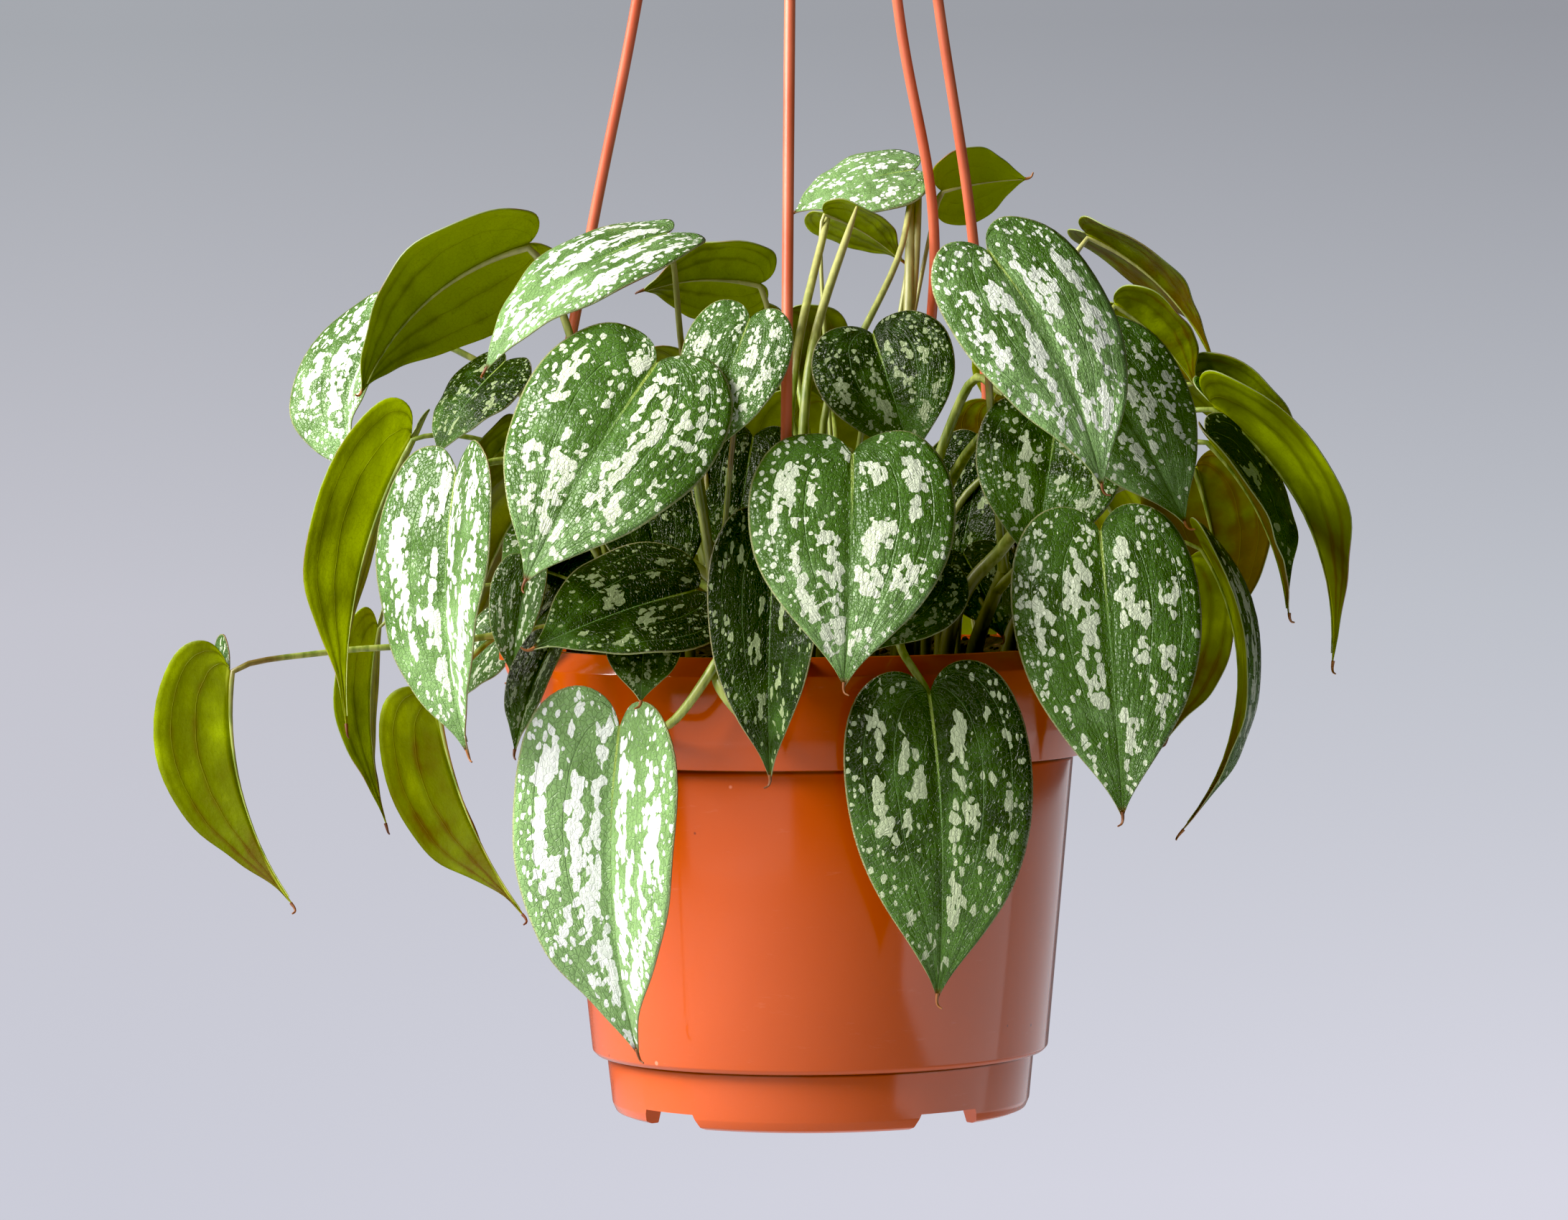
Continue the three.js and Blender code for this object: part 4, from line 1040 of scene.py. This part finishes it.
def pot(material):
    """The pot: a thin turned wall with its foot, step, rim band, collar, eyes and openings."""
    bm = turned(WALL_PROFILE, 128)
    corners = [e for e in bm.edges if e.is_manifold and e.calc_face_angle() > math.radians(14)
               and abs(e.verts[0].co.z - e.verts[1].co.z) < WELD]
    bmesh.ops.bevel(bm, geom=corners, offset=SOFT_EDGE * MM, segments=2, profile=0.5,
                    affect="EDGES", material=-1)
    piece = finished("pot_shell", bm, [material], "pot")
    cut_with(piece, rim_eyes(), "UNION")
    cut_with(piece, foot_openings())
    bm = bmesh.new()
    bm.from_mesh(piece.data)
    smooth(bm, 32)
    bm.to_mesh(piece.data)
    bm.free()


def soil_height(share):
    """The compost's height at a share of its radius, higher in the middle and by the wall."""
    mound = (SOIL_CROWN_Z - SOIL_EDGE_Z) * (1 - share ** 1.6)
    return SOIL_EDGE_Z + mound + SOIL_BANK * share ** 4


def compost_mound(material):
    """The compost: a low rough mound that fills the pot, with crumbs on top."""
    shares = [1 - i / SOIL_RINGS for i in range(SOIL_RINGS + 1)]
    surface = tuple((SOIL_RADIUS * share, soil_height(share)) for share in shares)
    bm = turned(SOIL_PROFILE + surface, 120)
    top = place(0, 0, SOIL_EDGE_Z).z + 1e-5
    for vert in bm.verts:
        if vert.co.z > top and vert.co.xy.length < (SOIL_RADIUS - 0.5) * MM:
            lump = mnoise.noise(vert.co * 90) * 1.8 + mnoise.noise(vert.co * 280) * 1.2
            out = vert.co.xy.length / (SOIL_RADIUS * MM)
            vert.co.z += lump * MM * min(1, (1.02 - out) * 4)
            rear = math.sqrt(max(vert.co.y / (SOIL_RADIUS * MM), 0))
            vert.co.z += REAR_BANK * out ** 6 * rear * MM
    chance = random.Random(CRUMB_SEED)
    for _ in range(CRUMBS):
        share = 0.965 * chance.random() ** 0.35
        azimuth = 360 * chance.random()
        rear = math.sqrt(max(-math.cos(math.radians(azimuth)), 0))
        z = soil_height(share) + chance.uniform(-0.4, 0.5) + REAR_BANK * share ** 6 * rear
        made = bmesh.ops.create_icosphere(bm, subdivisions=1, radius=chance.uniform(0.7, 2.1) * MM)
        shape = Matrix.Diagonal((1, chance.uniform(0.5, 1), chance.uniform(0.35, 0.8), 1))
        turn = Matrix.Rotation(chance.uniform(0, 6.3), 4, "Z") @ Matrix.Rotation(
            chance.uniform(-0.6, 0.6), 4, "X")
        move = Matrix.Translation(place(*around(SOIL_RADIUS * share, azimuth, z)))
        bmesh.ops.transform(bm, matrix=move @ turn @ shape, verts=made["verts"])
    smooth(bm, 50)
    finished("compost_mound", bm, [material], "soil")


def knob_radius(share):
    """The knob's radius from its narrow foot to its rounded top."""
    swell = KNOB_RADIUS * (0.6 + 0.4 * math.sin(math.pi / 2 * min(share * 1.25, 1)))
    if share > 0.85:
        swell -= 0.5 * ((share - 0.85) / 0.15) ** 2
    return swell * MM


def strand(name, eye, socket, via, material):
    """One moulded strand from its knob under the rim eye up into the hub."""
    bm = bmesh.new()
    low = around(EYE_CIRCLE, eye, 0)
    high = around(SOCKET_CIRCLE, socket, 0)
    knob_top = EYE_Z - 0.3
    middle = knob_top - KNOB_LENGTH / 2
    points = [(*low[:2], middle), (*low[:2], EYE_Z + EYE_THICK + 2), *via,
              (*high[:2], HUB_Z - 6), (*high[:2], HUB_Z + 4.7)]
    add_tube(bm, metres(curve_points(points, 110)), lambda share: STRAND_RADIUS * MM, 14)
    rise = [place(*low[:2], middle + KNOB_LENGTH * (i / 12 - 0.5)) for i in range(13)]
    add_tube(bm, rise, knob_radius, 24)
    bmesh.ops.recalc_face_normals(bm, faces=bm.faces)
    smooth(bm, 40)
    finished(name + "_moulded", bm, [material], name)


def hook_radius(share):
    """The hook's rod, rounded off at its free end."""
    end = max(0.0, (share - 0.975) / 0.025)
    return HOOK_ROD * math.sqrt(max(1 - 0.85 * end ** 2, 0.1)) * MM


def hub_and_hook(material):
    """The hub with its sockets, the shank and the round hook."""
    piece = finished("hub_and_hook", turned(HUB_PROFILE, 48), [material], "hanger_hook")
    tools = bmesh.new()
    for _, _, socket, _ in STRANDS:
        cutter(tools, SOCKET_RADIUS, 7, around(SOCKET_CIRCLE, socket, HUB_Z + 1.5))
    cut_with(piece, tools)
    bend = HOOK_INNER + HOOK_ROD
    points = [(0, 0, 548), (0, 0, 554), (6, 0, HOOK_CENTRE_Z - 16)]
    for angle in range(-20, 191, 30):
        a = math.radians(angle)
        points.append((bend * math.cos(a), 0, HOOK_CENTRE_Z + bend * math.sin(a)))
    rod = bmesh.new()
    rod.from_mesh(piece.data)
    add_tube(rod, metres(curve_points(points, 90)), hook_radius, 20)
    smooth(rod, 35)
    rod.to_mesh(piece.data)
    rod.free()


def spread(nodes, links, value, low, high, start=0, end=1):
    """A value spread evenly from one range to another."""
    made = nodes.new("ShaderNodeMapRange")
    for key, number in (("From Min", low), ("From Max", high), ("To Min", start), ("To Max", end)):
        made.inputs[key].default_value = number
    links.new(value, made.inputs["Value"])
    return made.outputs[0]


def pale_stage():
    """The pale floor, well under the hanging pot."""
    bm = bmesh.new()
    bmesh.ops.create_circle(bm, cap_ends=True, segments=96, radius=FLOOR_RADIUS,
                            matrix=Matrix.Translation((0, 0, FLOOR_Z)))
    mesh = bpy.data.meshes.new("floor")
    bm.to_mesh(mesh)
    bm.free()
    mesh.materials.append(pale_floor())
    floor = bpy.data.objects.new("floor", mesh)
    bpy.context.scene.collection.objects.link(floor)


def surround():
    """The surround, darker upwards; it lights the scene less than the camera sees it."""
    world = bpy.data.worlds.new("pale_surround")
    world.use_nodes = True
    bpy.context.scene.world = world
    nodes, links = world.node_tree.nodes, world.node_tree.links
    view = nodes.new("ShaderNodeTexCoord")
    heading = nodes.new("ShaderNodeSeparateXYZ")
    links.new(view.outputs["Generated"], heading.inputs[0])
    sides = nodes.new("ShaderNodeMix")
    sides.data_type = "RGBA"
    links.new(spread(nodes, links, heading.outputs[0], -0.12, 0.12), sides.inputs[0])
    for i, (low, middle, high) in enumerate(SURROUND):
        ramp = nodes.new("ShaderNodeValToRGB")
        links.new(spread(nodes, links, heading.outputs[2], -0.135, 0.06), ramp.inputs[0])
        ramp.color_ramp.elements[0].color = srgb(*low)
        ramp.color_ramp.elements[1].color = srgb(*high)
        ramp.color_ramp.elements.new(0.5).color = srgb(*middle)
        links.new(ramp.outputs[0], sides.inputs[6 + i])
    seen = nodes.new("ShaderNodeLightPath")
    strength = spread(nodes, links, seen.outputs["Is Camera Ray"], 0, 1, 0.27, 1)
    links.new(sides.outputs[2], nodes["Background"].inputs["Color"])
    links.new(strength, nodes["Background"].inputs["Strength"])


def lights():
    """Soft area lights; those of the walls and the table only show as reflections."""
    for name, energy, colour, size, spot, aim in LIGHTS:
        lamp = bpy.data.lights.new(name, "AREA")
        lamp.shape = "RECTANGLE"
        lamp.energy = energy
        lamp.color = colour
        lamp.size, lamp.size_y = size
        holder = bpy.data.objects.new(name, lamp)
        holder.location = spot
        holder.rotation_euler = (Vector(aim) - Vector(spot)).to_track_quat("-Z", "Y").to_euler()
        holder.visible_camera = False
        holder.visible_diffuse = not name.startswith(("wall", "table"))
        bpy.context.scene.collection.objects.link(holder)


def photograph_camera():
    """The camera at the photograph's place: level with the leaves, a long lens."""
    yaw, pitch, roll = (math.radians(a) for a in CAMERA_TURNS)
    ahead = Vector((-math.sin(yaw) * math.cos(pitch), math.cos(yaw) * math.cos(pitch),
                    -math.sin(pitch)))
    right = ahead.cross(Vector((0, 0, 1))).normalized()
    up = right.cross(ahead)
    right, up = (right * math.cos(roll) - up * math.sin(roll),
                 up * math.cos(roll) + right * math.sin(roll))
    camera = bpy.data.cameras.new("photograph_camera")
    camera.lens = LENS
    camera.sensor_width = FILM_WIDTH
    holder = bpy.data.objects.new("photograph_camera", camera)
    axes = Matrix((right, up, -ahead)).transposed().to_4x4()
    holder.matrix_world = Matrix.Translation(CAMERA_PLACE) @ axes
    bpy.context.scene.collection.objects.link(holder)
    bpy.context.scene.camera = holder


def plant():
    leaf_finishes = [satin_upper(), satin_underside(), satin_margin()]
    stalk_finish, tip_finish = green_stalk(), dry_tip()
    chance = random.Random(PLANT_SEED)
    for name, stem, leaves in VINES:
        seeds = [chance.random() for _ in leaves]
        made = blades(name + "_blades", name, leaves, seeds, leaf_finishes)
        made.visible_shadow = made.visible_glossy = name != "vine_over_rim"
        stalks(name + "_stalks", name, stem, leaves, [stalk_finish, tip_finish])


def hanging_pot():
    pot(pot_plastic())
    compost_mound(compost())
    clear = strand_plastic()
    for name, eye, socket, via in STRANDS:
        strand(name, eye, socket, via, clear)
    hub_and_hook(clear)


view = bpy.context.scene.view_settings
view.view_transform = "Standard"
view.use_curve_mapping = True
view.curve_mapping.black_level = BLACK_LEVEL
view.curve_mapping.update()
photograph_camera()
pale_stage()
surround()
lights()
plant()
hanging_pot()
